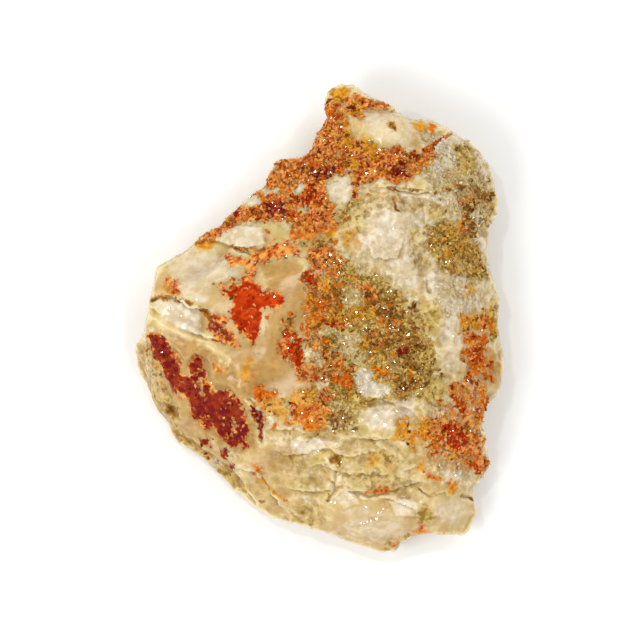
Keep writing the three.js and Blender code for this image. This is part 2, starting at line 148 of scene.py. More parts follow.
# %% [markdown]
# The pale surround lights the stone evenly. A real studio is darker than that where a shiny face
# would mirror it, so rays that come off a glossy face meet a dimmer surround, which keeps the
# crystals from looking dusty.

# %% Surround
SURROUND = 0.72
REFLECTED_SURROUND = 0.3
SURROUND_COLOUR = (0.97, 0.985, 1.0, 1)

world = bpy.data.worlds.new("studio")
world.use_nodes = True
background = world.node_tree.nodes["Background"]
background.inputs["Color"].default_value = SURROUND_COLOUR
ray_kind = world.node_tree.nodes.new("ShaderNodeLightPath")
dimmed = world.node_tree.nodes.new("ShaderNodeMath")
dimmed.operation = "MULTIPLY_ADD"
dimmed.inputs[1].default_value = REFLECTED_SURROUND - SURROUND
dimmed.inputs[2].default_value = SURROUND
world.node_tree.links.new(ray_kind.outputs["Is Glossy Ray"], dimmed.inputs[0])
world.node_tree.links.new(dimmed.outputs[0], background.inputs["Strength"])
bpy.context.scene.world = world
bpy.context.scene.view_settings.view_transform = "Standard"
print("surround:", SURROUND, "seen in a face:", REFLECTED_SURROUND)

# %% [markdown]
# The floor is one square of plain pale paint. Two small helpers made for it, one for a material of
# a single colour and one that puts a mesh into the scene, are used again further down.

# %% Floor
FLOOR_SIDE = 2.4
FLOOR_PAINT = (0.94, 0.94, 0.94, 1)
SQUARE = ((-1, -1), (1, -1), (1, 1), (-1, 1))


def plain_material(name, colour, **settings):
    """A material of one colour. The settings are other sockets of the shader, by their names."""
    material = bpy.data.materials.new(name)
    material.use_nodes = True
    shader = material.node_tree.nodes["Principled BSDF"]
    shader.inputs["Base Color"].default_value = colour
    for label, value in settings.items():
        shader.inputs[label].default_value = value
    return material


def linked(name, mesh, material):
    """A new object in the scene, made of this mesh and this material."""
    made = bpy.data.objects.new(name, mesh)
    made.data.materials.append(material)
    bpy.context.scene.collection.objects.link(made)
    return made


half = FLOOR_SIDE / 2
floor_mesh = bpy.data.meshes.new("floor")
floor_mesh.from_pydata([(x * half, y * half, 0) for x, y in SQUARE], [], [(0, 1, 2, 3)])
floor = linked("floor", floor_mesh, plain_material("pale_floor", FLOOR_PAINT, Roughness=0.9))
print("floor:", FLOOR_SIDE, "m wide")

# %% [markdown]
# Broken mineral is rough at every scale. A displace modifier with a texture could give that, but
# then the same shapes couldn't be read again for the colours. So the roughness is worked out for
# all points at once from whole-number cells in space, which is the same each time. The simplest
# kind is smooth lumps.

# %% Lumps
HASH_RANGE = 2 ** 32
AXIS_HASHES = (374761393, 668265263, 2246822519)
SALT_HASH = 1013904223
MIXING = ((15, 2654435761), (13, 3266489917))
LAST_SHIFT = 16


def cell_noise(cells, salt):
    """A repeatable number from 0 to 1 for each whole-number cell."""
    mixed = np.uint32(salt * SALT_HASH % HASH_RANGE)
    for axis, factor in enumerate(AXIS_HASHES):
        mixed = mixed ^ (cells[..., axis].astype(np.uint32) * np.uint32(factor))
    for shift, factor in MIXING:
        mixed = (mixed ^ (mixed >> np.uint32(shift))) * np.uint32(factor)
    return (mixed ^ (mixed >> np.uint32(LAST_SHIFT))) / float(HASH_RANGE)


def lumps(points, size, salt):
    """Smooth lumps from -1 to 1, each about one size wide."""
    scaled = points / size
    base = np.floor(scaled).astype(np.int64)
    part = scaled - base
    part = part * part * (3 - 2 * part)
    total = np.zeros(len(points))
    for corner in np.ndindex(2, 2, 2):
        weight = np.ones(len(points))
        for axis in range(3):
            weight = weight * (part[:, axis] if corner[axis] else 1 - part[:, axis])
        total += weight * cell_noise(base + np.array(corner), salt)
    return 2 * total - 1


def wobble(places, *layers):
    """Shifts in X and Y. Each layer is its amount, the size of its lumps and a salt for each axis."""
    shift = np.zeros((len(places), 2))
    for amount, size, *salts in layers:
        shift += amount * np.column_stack([lumps(places, size, salt) for salt in salts])
    return shift


sample = np.random.default_rng(1).uniform(0, 20, (1000, 3))
print("lumps reach", round(float(np.abs(lumps(sample, 2, 5)).max()), 2))

# %% [markdown]
# Two more kinds have sharp edges, as broken stone does. In facets, every point takes the tilt of
# the nearest grain centre. In scoops, it takes the lowest of the bowls round it, which leaves
# ridges between shell-like hollows, the way that quartz breaks.

# %% Facets and scoops
TILT_SALT = 3
NUMBER_SALT = 7
BOWL_SALT = 3
BOWL_STEP = 0.6


def cells_round(points, size, salt):
    """Goes through the 27 cells round each point, with the way to the point from the cell's centre."""
    scaled = points / size
    base = np.floor(scaled).astype(np.int64)
    for step in np.ndindex(3, 3, 3):
        cell = base + np.array(step) - 1
        centre = cell + np.stack([cell_noise(cell, salt + axis) for axis in range(3)], axis=1)
        yield cell, scaled - centre


def facets(points, size, salt):
    """For each point: its grain's tilt as a height, and the grain's own number from 0 to 1."""
    nearest = np.full(len(points), np.inf)
    height = np.zeros(len(points))
    number = np.zeros(len(points))
    for cell, away in cells_round(points, size, salt):
        distance = np.linalg.norm(away, axis=1)
        closer = distance < nearest
        nearest = np.where(closer, distance, nearest)
        tilt = np.stack([cell_noise(cell, salt + TILT_SALT + axis) - 0.5 for axis in range(3)], axis=1)
        height = np.where(closer, (away * tilt).sum(axis=1) * 2, height)
        number = np.where(closer, cell_noise(cell, salt + NUMBER_SALT), number)
    return height, number


def scoops(points, size, salt):
    """For each point: how high it lies in its bowl, and the bowl's own number from 0 to 1."""
    lowest = np.full(len(points), np.inf)
    number = np.zeros(len(points))
    for cell, away in cells_round(points, size, salt):
        level = (away ** 2).sum(axis=1) + BOWL_STEP * cell_noise(cell, salt + BOWL_SALT)
        number = np.where(level < lowest, cell_noise(cell, salt + NUMBER_SALT), number)
        lowest = np.minimum(lowest, level)
    return lowest, number


def soft_step(low, high, value):
    """0 below low, 1 above high, and a smooth rise between them."""
    share = np.clip((value - low) / (high - low), 0, 1)
    return share * share * (3 - 2 * share)


print("bowls reach", round(float(scoops(sample, 2, 5)[0].max()), 2))

# %% [markdown]
# A patch of stain or crust is a ragged shape that a person would draw round with a pencil. How far
# a point lies inside such an outline, or from a line, decides how strongly it is stained.

# %% Distance helpers
TINY = 1e-9


def from_segment(places, start, end):
    """The segment's own way, the way from its start to each place, and the distance to it."""
    along = end - start
    offset = places - start
    share = np.clip(offset @ along / max(along @ along, TINY), 0, 1)
    return along, offset, np.linalg.norm(offset - share[:, None] * along, axis=1)


def inside_distance(places, corners):
    """How far each place lies inside a closed outline, in millimetres, negative outside it."""
    nearest = np.full(len(places), np.inf)
    inside = np.zeros(len(places), dtype=bool)
    for start, end in zip(corners, np.roll(corners, -1, axis=0)):
        along, offset, distance = from_segment(places, start, end)
        nearest = np.minimum(nearest, distance)
        spans = (start[1] > places[:, 1]) != (end[1] > places[:, 1])
        rise = along[1] if along[1] != 0 else TINY
        inside ^= spans & (offset[:, 0] < along[0] * offset[:, 1] / rise)
    return np.where(inside, nearest, -nearest)


def line_distance(places, corners):
    """The distance to an open line, and on which side of it each place lies."""
    nearest = np.full(len(places), np.inf)
    side = np.zeros(len(places))
    for start, end in zip(corners[:-1], corners[1:]):
        along, offset, distance = from_segment(places, start, end)
        closer = distance < nearest
        nearest = np.where(closer, distance, nearest)
        side = np.where(closer, np.sign(along[0] * offset[:, 1] - along[1] * offset[:, 0]), side)
    return nearest, side


def near(places, corners, reach):
    """Which places lie in the box round some corners, with a margin. The others can be left out."""
    low = corners.min(axis=0) - reach
    high = corners.max(axis=0) + reach
    return np.all((places > low) & (places < high), axis=1)


print("a square's middle lies", inside_distance(np.zeros((1, 2)), np.array(SQUARE))[0], "mm inside")

# %% [markdown]
# On the stone, the stains are iron minerals that soaked into the quartz or grew on it. An image
# laid over the stone could hold them, but outlines stay sharp from close by, follow the stone's
# relief, and can be moved one at a time. Each row has the patch's name, its density from 0 to 1 and
# its corners. A sparse patch breaks up into specks, and a dense one is closed. Later colours lie
# over earlier ones, so the pale tints of the quartz itself come first.

# %% Pink and white
STAINS = {}
STAINS["pink"] = patches("""
    facet_middle 0.55 384,240 402,238 404,262 386,264
    upper_right 0.42 440,140 470,142 488,176 492,216 460,206 440,180
    left_flank 1.0 134,342 150,344 196,430 214,452 186,448 164,428 146,398
    left_slab 0.5 206,274 250,262 300,262 300,340 250,385 215,340 196,304
    slab_middle 1.0 256,262 300,262 310,300 298,340 300,390 230,400 232,350 262,340 276,310
    slab_lower 0.7 258,340 282,352 296,384 250,396 240,370
    chip_side 0.6 188,305 206,312 207,334 190,330
    lower_right 0.4 420,480 474,484 476,512 462,534 424,530 410,505
    bottom_lobe 0.5 330,505 420,515 410,540 380,550 330,532
    right_rim 0.8 484,345 502,350 502,385 486,405 480,380
    lower_left 0.5 250,440 300,450 300,500 250,490
    band_side 0.75 172,338 206,340 250,392 262,440 240,456 210,444 186,424 158,372
    left_foot 0.9 176,426 206,440 232,462 250,492 232,488 176,444
""")
STAINS["white"] = patches("""
    facet_edge 0.66 424,268 440,272 446,288 432,294 424,284
    facet_lowest 0.66 396,268 414,266 422,280 412,292 398,284
    facet_right 0.7 402,240 420,242 428,256 420,264 404,258
    facet_low 0.72 366,244 380,242 386,254 380,264 368,258
    facet_middle 0.85 371,224 378,213 396,212 402,222 396,236 380,240
    upper_right_edge 0.45 474,150 484,160 492,180 484,186 474,176
    right_low 0.55 440,296 456,300 464,330 458,370 444,376 436,340
    left_step 0.6 140,346 150,352 168,398 160,400 146,376
    bottom_right 0.55 430,500 466,500 466,520 440,526
    bottom_lobe 0.5 340,502 392,512 412,520 400,540 372,544 344,530
    slab_top 0.6 166,266 206,240 222,256 244,268 240,280 214,286 208,306 176,296
    chip_bright 1.0 150,301 160,298 180,306 184,320 174,324 163,318
    chip 0.85 150,302 168,298 200,309 200,336 176,328
    dome 0.56 360,118 376,110 392,113 414,123 412,144 404,148 380,145 366,135
    upper_lumps 0.75 436,138 455,136 462,150 456,166 444,176 430,178 425,160
    arm_window 0.9 328,182 338,178 346,182 350,196 344,205 332,202 327,193
    left_window 0.9 246,199 254,191 268,189 268,196 262,203 248,205
    pale_slab 0.95 215,239 222,231 240,226 262,229 266,244 250,249 238,248
    middle_bright 0.92 366,236 378,222 392,214 402,222 404,236 394,244 372,244
    middle 0.55 340,205 380,196 430,196 434,225 424,262 400,290 384,272 362,262 345,240
    right_bright 0.85 443,320 452,316 456,332 452,346 444,340
    right_column 0.55 466,292 474,290 478,306 474,316 466,312
    under_hollow 0.85 364,410 376,404 392,406 398,420 390,428 396,433 380,431 372,435 360,422
    beside_hollow 0.85 396,400 414,398 418,415 404,422 396,414
    hollow_rim 0.9 354,366 365,368 374,380 386,386 388,396 366,398 354,393
    lower_plate 0.88 290,439 318,436 324,446 310,452 292,451
    plate_middle 0.85 334,496 340,488 352,490 358,502 344,508
    plate_right 0.88 390,502 404,498 416,502 418,514 396,514
    corner 0.7 440,468 462,470 460,482 444,482
    upper_bench 0.6 396,192 430,195 452,192 450,206 420,210 400,206
    rim_window 0.5 484,282 490,280 492,296 486,292
""")
print("pale patches:", sum(len(shapes) for shapes in STAINS.values()))

# %% [markdown]
# Olive is jarosite as a thin film or as fine grains. It lines the hollow and the creases.

# %% Olive
STAINS["olive"] = patches("""
    middle_mottle 0.52 404,236 420,232 428,246 424,262 410,262
    bench_mottle 0.56 398,196 446,204 452,216 436,224 402,208
    upper_right_mottle 0.62 450,146 466,144 478,158 480,172 464,178 450,168
    middle_veil 0.5 338,196 378,192 420,196 420,214 380,214 346,240
    left_flank 0.56 136,344 148,342 172,395 180,425 200,450 182,446 150,410
    left_foot 1.0 176,434 230,473 244,492 232,488 176,444
    hollow 0.9 335,262 390,284 428,340 436,372 428,392 350,410 330,400 318,300
    under_hollow 0.56 328,402 362,402 360,432 330,432 322,418
    lower_crack 0.85 326,448 344,452 342,468 328,464
    low_left 0.5 276,454 304,452 300,464 280,462
    tall_crack 0.6 328,482 336,480 328,505 325,500
    low_right 0.62 366,446 388,448 404,466 382,474 364,466
    right_shoulder 0.78 426,226 458,218 470,232 488,272 480,284 436,268 426,250
    upper_right 0.42 428,150 460,140 494,188 495,215 488,234 468,238 466,206 446,200 430,205 424,172
    tip_window 0.75 346,114 356,112 362,124 358,142 348,140
    under_pale_slab 0.6 300,236 338,228 338,246 306,254 292,246
    slab_right 0.6 336,200 372,200 368,232 352,246 338,240
    middle_right 0.55 405,222 428,230 430,262 412,270
    right_low 0.6 404,300 440,300 436,335 418,330
    right_rim 0.8 488,300 497,300 498,340 490,340
    right_grains 0.62 418,350 436,372 450,372 440,410 414,400
    bottom_left 0.5 300,495 330,505 330,532 296,524 285,512
    bottom 0.6 380,536 402,538 398,552 384,552
    corner 0.7 418,500 432,500 436,520 424,528 416,515
    low_shelf 0.5 334,468 372,470 420,482 418,494 360,490
""")
print("olive patches:", len(STAINS["olive"]))

# %% [markdown]
# Gold and orange are the thinner crusts and their scattered crystals.

# %% Gold and orange
STAINS["gold"] = patches("""
    lower_right_veil 0.46 396,414 440,410 480,380 486,470 440,474 400,446
    hollow_upper 0.55 306,276 340,280 360,296 350,330 316,340 304,310
    slab_corner 0.5 335,230 358,226 364,252 345,256
    right_shoulder 0.44 430,232 464,224 480,246 488,272 476,280 440,264
    arm_middle 0.85 346,96 366,102 362,138 392,154 396,166 358,176 344,168 340,150
    tip 0.85 328,89 344,87 350,90 348,99 344,102 330,101
    left_edge 0.85 192,241 208,236 216,240 214,250 196,252
    left_corner 0.6 152,293 180,282 184,300 154,298
    slab_vertical 0.85 244,360 252,358 254,370 248,384 244,380
    under_slab 0.6 252,398 276,400 290,408 286,424 262,412
    above_white 0.95 366,366 384,364 386,376 366,376
    low_patch 0.52 364,452 376,452 382,466 398,462 400,470 368,470
    right_low 0.7 396,420 408,418 418,444 388,440
    right_low_second 0.7 418,418 438,418 438,440 424,444 416,432
    right_upper 0.8 458,314 472,314 492,308 494,322 484,332 462,332 456,322
    right_rim 0.8 488,318 496,318 497,336 488,336
    middle_band 0.6 300,292 346,290 372,300 384,316 340,330 306,330
    slab_foot 0.6 286,388 330,388 330,432 290,430
    shoulder 0.7 458,212 464,208 462,238 456,236
""")
STAINS["orange"] = patches("""
    right_scatter 0.46 456,376 488,372 486,470 456,470 440,440 446,400
    upper_right 0.42 452,188 488,192 488,208 456,208
    hollow_arc 0.55 350,276 376,288 396,320 388,336 372,310 350,292
    slab_lower 0.95 250,390 258,387 268,391 276,387 278,398 270,402 258,400
    slab_foot 0.62 286,400 322,400 326,430 312,432 292,420
    hollow_left 0.52 304,296 330,296 345,316 338,345 322,368 306,378 300,320
    hollow_top 0.56 308,276 336,280 350,290 344,314 318,318 308,300
    hollow_low 0.95 329,368 352,366 354,380 350,392 330,380
    right_edge 0.9 464,334 486,334 486,376 468,376 462,350
    right_rim 0.7 486,355 492,360 490,385 484,378
    right_low_edge 0.85 478,382 486,384 486,412 478,420
    right_low_second 0.95 420,430 434,426 438,436 430,441 421,437
    bottom_edge 0.62 414,532 421,518 426,522 428,532 449,534 406,537
    low_mid 0.75 372,486 390,486 392,494 362,494
    tip_edge 0.7 362,96 392,106 390,112 366,104
    upper_specks 0.62 340,222 336,232 300,244 262,240 264,228
    edge_specks 0.7 204,238 234,222 246,206 252,212 238,226 214,240
    left_corner 0.62 165,278 184,277 186,292 168,290
""")
print("gold and orange patches:", len(STAINS["gold"]) + len(STAINS["orange"]))

# %% [markdown]
# Rust is the thick crystal crust that gives the stone its look: the arms under the tip, the rod,
# the cross, the rings beside it and the band on the left.

# %% Rust
STAINS["rust"] = patches("""
    lower_right_scatter 0.44 428,408 470,392 488,396 486,474 450,470 424,450
    band 1.0 148,330 158,332 166,337 178,358 184,374 189,376 190,362 195,354 204,359 207,382 212,392
        224,388 232,392 241,404 249,430 251,447 245,449 240,444 234,448 225,444 215,427 206,430 192,417
        189,398 177,393 168,383 149,342
    arm_left_core 1.0 280,168 326,158 338,164 334,176 320,186 322,210 300,206 300,186 284,182
    arm_right_core 0.95 376,152 398,150 412,154 432,148 434,158 408,182 392,184 380,174
    upper_left_arm 0.94 226,214 262,184 270,170 282,158 302,155 312,148 313,138 324,118 322,104 330,101
        342,104 344,118 342,140 346,152 348,168 342,176 330,178 325,190 332,204 338,210 334,222 316,230
        298,224 284,228 262,224 246,224
    right_arm 0.75 346,150 380,152 398,150 412,154 426,149 430,160 410,180 396,186 384,182 368,186 352,196
        348,182 352,164
    tip_strip 0.9 344,100 358,94 388,106 392,112 376,108 362,112 350,112
    left_rim 0.9 190,246 230,213 242,216 236,224 206,243
    rod 1.0 224,258 242,256 249,260 256,251 264,247 286,243 296,246 302,252 290,257 246,267 227,265
    stem 0.97 247,264 254,266 255,284 258,296 246,298 242,290
    cross 1.0 218,286 224,290 231,291 230,284 233,279 239,285 241,293 246,284 258,283 264,291 276,291
        284,295 287,302 281,309 268,307 260,311 256,320 262,330 256,347 232,323 231,313 236,306 234,301
        224,298
    beside_cross 0.97 281,326 288,322 294,331 301,335 300,346 309,374 307,382 300,382 297,371 288,361
        284,352 278,348 279,340 284,337
    ring_top 1.0 207,311 226,316 230,324 224,326 216,319 212,325 214,334 208,331
    ring_bottom 1.0 212,331 220,334 224,326 230,328 241,346 236,350 216,341
    hollow_top 0.8 306,250 322,246 336,250 343,264 342,278 328,280 308,266
    hollow_corner 1.0 300,280 310,272 322,276 318,286 308,289
    hollow_left 0.6 306,338 338,344 346,368 330,382 308,384 300,360
    hollow_streak 0.85 310,323 352,319 350,329 312,332
    hollow_centre 0.55 350,276 372,284 386,298 376,304 356,292
    slab_corner 1.0 320,386 330,384 334,392 330,399 322,402 319,394
    slab_foot 0.48 292,402 326,402 328,424 300,422
    left_corner 0.55 166,278 178,276 186,296 178,300 168,294
    right_edge 0.88 466,340 480,340 486,346 482,360 470,362 465,352
    right_shoulder 0.5 458,212 472,206 474,222 466,240 450,238 444,232 458,226
    edge_patch 0.9 467,461 476,458 488,460 489,468 482,478 474,474 468,468
    lower_right 0.95 434,417 448,417 476,430 480,440 476,450 460,455 448,452 438,442
    right_streak 0.95 447,383 452,390 466,402 467,418 462,420 460,408 446,392
    bottom_edge 0.6 404,535 422,532 450,532 448,536 406,540
    hollow_right 0.42 352,318 380,318 402,326 404,345 380,350 356,336
""")
print("rust patches:", len(STAINS["rust"]))

# %% [markdown]
# The darkest colours lie on top: the vivid red of the cross, the maroon of the left band, which
# has the same outline as the rust under it, and brown grains.

# %% Red, maroon and brown
STAINS["red"] = patches("""
    beside_cross_all 0.8 284,326 300,336 306,380 298,372 282,342
    cross_all 0.95 218,286 232,290 246,284 284,296 286,302 262,310 262,330 256,346 230,316 236,302
    cross_core 1.0 234,309 244,304 254,306 254,318 250,332 243,330 236,321
    beside_cross 0.7 288,340 298,340 300,360 290,356
    lower_right 0.85 440,420 458,425 468,434 466,446 450,448 442,436
    upper_arm 0.6 262,206 290,200 310,184 326,194 322,212 290,218 264,218
""")
STAINS["maroon"] = patches("""
    hollow_purple 0.62 380,302 395,302 397,315 383,317
    ring 0.66 210,316 224,318 238,346 224,342 212,332
    band_top 0.75 150,332 164,338 176,358 184,376 178,388 164,368
    band_core 0.85 207,396 224,390 236,398 244,412 246,430 236,436 220,424 208,412
    arm_left_core 0.62 304,164 334,160 338,176 320,184 306,178
    flake 0.62 244,404 254,404 266,420 266,432 260,440 252,414
    arm_core 0.9 386,165 404,165 404,177 388,178
    arm_left 0.72 262,204 290,206 288,219 265,219
""")
STAINS["brown"] = patches("""
    hollow_left 0.42 306,280 350,290 352,380 310,384
    hollow_specks 0.4 340,330 400,330 432,350 432,392 380,398 340,380
    hollow_base 0.32 350,296 386,300 404,306 430,350 428,384 392,394 350,330
    hollow_low 0.6 400,378 428,372 428,386 404,396 388,398 388,390
    hollow_upper 0.8 364,294 396,298 398,316 382,318 368,306
    hollow_right 0.7 392,320 412,326 418,345 402,350 392,340
    hollow_centre 0.7 362,328 381,326 386,345 366,348
    right_shoulder 0.34 428,232 462,226 486,268 482,280 466,262 440,256 430,248
    upper_right 0.55 466,186 494,190 494,204 470,206
    shoulder_core 0.8 460,204 474,204 474,238 463,242
    under_hollow 0.52 324,408 346,406 352,420 340,432 326,430
    right_grains 0.6 418,360 434,364 430,384 418,384
    foot_line 0.7 178,438 200,451 228,474 224,474
""")
BAND_DENSITY = 0.72
STAINS["maroon"]["band"] = (BAND_DENSITY, STAINS["rust"]["band"][1])
print("patches:", {stain: len(shapes) for stain, shapes in STAINS.items()})

# %% [markdown]
# Single specks are round and have only a middle and a width, in pixels. Windows are the opposite of
# stains: clean quartz that shows through a crust, with how clear it is before its corners.

# %% Specks and windows
SPECKS = {
    "white": "301,190,11 476,220,10 480,246,12 473,412,14",
    "gold": "392,126,12 418,128,14 331,233,11 470,291,11 218,326,11 420,465,12 452,487,12",
    "orange": "430,128,9 268,317,8 291,320,8 272,364,5 379,371,13 256,372,6 455,386,11 460,390,9 "
        "410,438,9 432,446,11 258,470,10 450,483,8 286,499,8 395,545,8",
    "rust": "356,194,12 483,322,14 220,368,12 478,453,11 422,471,6 434,478,5 384,490,7",
    "red": "312,280,12 252,336,11 477,352,13 474,466,8",
    "maroon": "279,247,8 389,308,14 404,348,14 405,349,8 444,433,8 206,442,9 224,453,9",
    "brown": "392,126,10 172,411,12 334,459,12 407,536,5",
}
WINDOWS = patches("""
    band_streak 0.9 196,376 199,376 205,394 202,397
    band_streak_low 0.9 229,418 232,417 236,428 234,438 231,436 233,428
    left_arm_upper 0.9 288,186 298,182 306,187 304,197 293,197
    left_arm_small 0.8 262,190 274,187 283,190 279,197 265,197
    left_rim 0.9 243,201 254,196 266,199 262,206 247,208
    arm_low 0.8 296,208 306,205 314,211 308,217 297,214
    round 1.0 327,180 338,178 347,184 351,197 344,206 332,203 326,193
    cream_step 0.8 267,222 282,220 294,226 289,237 269,236
    tip_window 0.6 347,116 358,113 364,126 359,143 348,138
    hollow_pale 0.5 338,288 352,286 366,294 364,306 344,308 336,298
    hollow_yellow 0.5 320,326 334,324 342,330 336,337 322,336
    hollow_grey 0.55 334,334 356,332 364,344 352,354 336,352
    hollow_low 0.5 338,346 362,350 366,364 344,366
    hollow_white 0.9 354,369 366,368 374,381 388,384 390,394 370,398 355,392
    slab_side 0.6 306,348 320,350 322,362 306,364
""")
print("windows:", len(WINDOWS))

# %% [markdown]
# Stain also gathers along thin creases, and two brown lines are painted shadow under an overhanging
# edge. Such a line has its density and its width in millimetres before the points that it runs through.

# %% Lines of stain
STAIN_LINES = {}
# The overhang line over the white chip and the line at the pale slab's foot are painted shadow, not
# stain.
STAIN_LINES["brown"] = patches("""
    bench 1.0 0.32 390,189 430,193 445,190 458,185 475,189 490,195
    chip_overhang 1.0 0.34 150,300 166,296 190,302 200,309 209,311 210,318
    pale_slab_foot 1.0 0.32 232,248 264,251
    foot 0.6 0.3 176,437 200,451 228,474 241,492
    slab_slit 0.95 0.25 319,400 328,407
    corner 0.7 0.2 418,489 432,494
    tip 0.8 0.25 328,102 343,102
    notch 0.9 0.3 465,497 474,499
    bench_pit 0.9 0.32 393,198 395,209
    tip_line 0.9 0.25 329,102 343,103
    foot_spot 1.0 0.19 259,501 264,504
    tall_crack 0.6 0.25 328,502 335,473
""")
STAIN_LINES["maroon"] = patches("""
    flake_upper 0.9 0.2 243,403 252,406 260,416 266,428
    flake_lower 0.9 0.2 255,416 260,428 262,440
    streak 0.9 0.25 220,447 225,458
    streak_low 0.9 0.2 230,466 234,475
    band_low 0.8 0.23 232,465 233,474
    ring_low 0.6 0.35 215,339 223,344
    right_edge 0.7 0.39 484,321 485,328
""")
STAIN_LINES["olive"] = patches("""
    first_bench 0.6 0.6 282,434 300,438 322,436 346,440 364,441 390,440
    second_bench 0.6 0.5 284,455 306,457 330,452 352,458 376,454
    third_bench 0.62 0.5 322,470 346,474 372,472 396,476 412,472
    fourth_bench 0.55 0.45 300,490 322,491 344,487 360,493 392,491 412,486
""")
STAIN_LINES["gold"] = patches("""
    lower_left_crease 0.7 0.4 262,480 290,505
    slab_ledge 0.7 0.35 252,402 268,404 286,400
""")
STAIN_LINES["orange"] = patches("""
    slab_foot_left 0.85 0.51 275,425 288,421
    low_dot 0.9 0.37 428,475 439,478
""")
STAIN_LINES["rust"] = patches("""
    dome_crack 1.0 0.3 425,151 448,136
""")
STAIN_LINES["red"] = patches("""
    cross_prong 0.85 0.45 235,288 237,298
    right_streak 0.85 0.46 451,397 463,411
    rod 0.7 0.34 230,260 248,262
    hollow_streak 0.75 0.31 314,325 333,324
""")
print("lines:", {stain: len(lines) for stain, lines in STAIN_LINES.items()})

# %% [markdown]
# The stone breaks along ledges and cracks. A ledge is a step, with its drop and the run over which
# it slopes away: the stone is higher on one side of its line. A plate is a thin raised flake, with
# its rise. A crack is a groove, with its depth and width. All are in millimetres.

# %% Ledges and cracks
LEDGES = patches("""
    chip_foot 0.35 1.2 150,304 163,319 176,329 188,331 200,338 212,342
    chip_scarp 0.6 1.4 146,303 168,297 178,299 185,303 210,312 216,322
    bench 0.25 2.2 388,188 430,193 450,188 460,184 492,194
    pale_slab_foot 0.5 1.6 214,241 236,248 248,250 262,250
    hollow_foot 0.2 1.8 330,402 346,398 362,402 378,396 392,402
    first_bench 0.25 1.6 282,432 300,436 322,433 346,436 364,440 390,438
    second_bench 0.2 1.6 284,452 306,455 330,450 352,456 376,452
    third_bench 0.22 1.6 322,468 346,472 372,470 396,474 412,470
    fourth_bench 0.22 1.6 300,489 322,490 344,486 360,492 392,490 412,484
    lower_left_edge 0.4 1.8 244,470 262,480 280,506 296,516
    bottom_lobe 0.16 1.6 354,494 366,500 390,498 416,508 422,520
    right_slab 0.15 1.5 425,196 424,230 430,262 450,276 456,300 464,320
    middle_slab 0.22 1.5 364,222 368,244 374,262 396,262 402,246
    corner 0.16 1.4 420,489 430,494 444,492 462,498 474,497
""")
PLATES = patches("""
    pale_slab 0.2 214,240 222,231 240,226 262,229 266,245 250,248 234,247
    lower_plate 0.1 290,438 318,435 326,447 308,453 292,452
    bottom_plate 0.1 334,496 340,487 352,489 360,503 344,508
    bottom_plate_right 0.1 390,502 404,498 417,502 418,515 396,515
""")
CRACKS = patches("""
    tip 0.35 0.22 327,103 338,101 346,104
    dome_right 0.4 0.22 425,151 433,149 436,139 452,135
    bench 0.35 0.2 398,190 430,193
    pale_slab 0.4 0.2 235,248 258,250
    foot 0.25 0.3 176,437 200,451 228,474 241,492
    slab_slit 0.4 0.2 320,402 329,406
    tall 0.2 0.22 334,470 334,486 328,503
    low_left 0.3 0.2 262,478 272,492
    flakes 0.35 0.2 247,403 256,408 262,424 262,440
    low_right 0.2 0.25 420,490 430,494 436,492
    right_edge 0.35 0.25 466,497 476,498
    hollow_right 0.3 0.2 422,284 424,296
    low_ledge 0.18 0.25 352,494 372,497 392,494
    lower_right 0.4 0.22 438,440 444,450 456,456
""")
print("ledges:", len(LEDGES), "plates:", len(PLATES), "cracks:", len(CRACKS))

# %% [markdown]
# Larger areas differ in how they broke: some planes are worn smooth, some are freckled, and some
# are grainy like sugar. The outlines are named once, and each list says how strongly they have
# one of these qualities.

# %% Areas
AREAS = patches("""
    whole_top 340,108 465,148 484,180 478,240 488,360 474,420 476,470 462,516 400,536 330,520 262,498
        206,448 168,400 150,350 162,290 215,252 302,178 330,146
    slab 146,300 156,280 200,240 264,224 300,234 312,300 302,390 250,402 232,356 150,326
    dome 352,116 380,108 416,120 416,146 390,152 360,144
    right_middle 345,190 480,195 484,320 440,340 380,290 345,250
    upper_right 425,132 470,138 492,170 496,240 470,236 430,205 418,165
    middle 336,200 430,194 440,270 430,330 350,250
    right 425,220 490,220 495,300 440,330 425,280
    lower_middle 268,428 420,432 424,494 330,500 276,480
    lower_right 420,400 485,380 488,480 440,480 415,450
    hollow 306,250 340,246 390,280 425,320 440,390 390,405 310,400 300,300
    under_hollow 324,400 362,400 358,434 324,434
    arms 240,222 326,100 350,100 352,145 430,148 410,190 340,225
    left_specks 204,310 245,320 262,440 215,390
    lower_left 236,440 300,440 300,522 250,506
    band 148,330 205,350 250,400 252,448 220,445 160,380
    left_flank 136,340 150,340 190,410 230,460 200,450 150,410
    bottom_lobe 325,500 420,500 420,540 380,552 300,520
    corner 422,484 476,490 468,538 420,534
""")
WORN = {"whole_top": 0.75, "slab": 1.0, "dome": 1.0, "right_middle": 1.0}
FRECKLED = {"upper_right": 0.62, "middle": 0.6, "right": 0.6, "lower_middle": 0.6, "lower_right": 0.6}
SMOOTH = {"slab": 1.0, "band": 0.8, "left_flank": 0.8, "dome": 0.7, "middle": 0.35, "lower_left": 0.5,
          "lower_middle": 0.55, "bottom_lobe": 0.9, "corner": 0.85}
SMOOTH_EDGE = 1.0
GRAINY = {"upper_right": 1.0, "hollow": 1.0, "arms": 0.8, "lower_right": 0.8, "right": 0.6,
          "under_hollow": 0.6, "left_specks": 0.5, "middle": 0.45, "lower_middle": 0.3}


def area_share(places, strengths, softness):
    """The strength of the strongest area that each point lies in, fading out over its edge."""
    share = np.zeros(len(places))
    for name, strength in strengths.items():
        corners = AREAS[name][0]
        close = near(places[:, :2], corners, softness)
        inside = inside_distance(places[close][:, :2], corners)
        share[close] = np.maximum(share[close], strength * soft_step(-softness, softness, inside))
    return share


print("areas:", sorted(AREAS))

# %% [markdown]
# The stone itself starts from the solid, so it keeps its outline and its broken planes. It could be
# sculpted by hand, but then it wouldn't follow the solid if that changed. Instead a copy of the
# solid is remeshed into small even faces, which can be moved by rule.

# %% Dense stone
VOXEL = 0.225


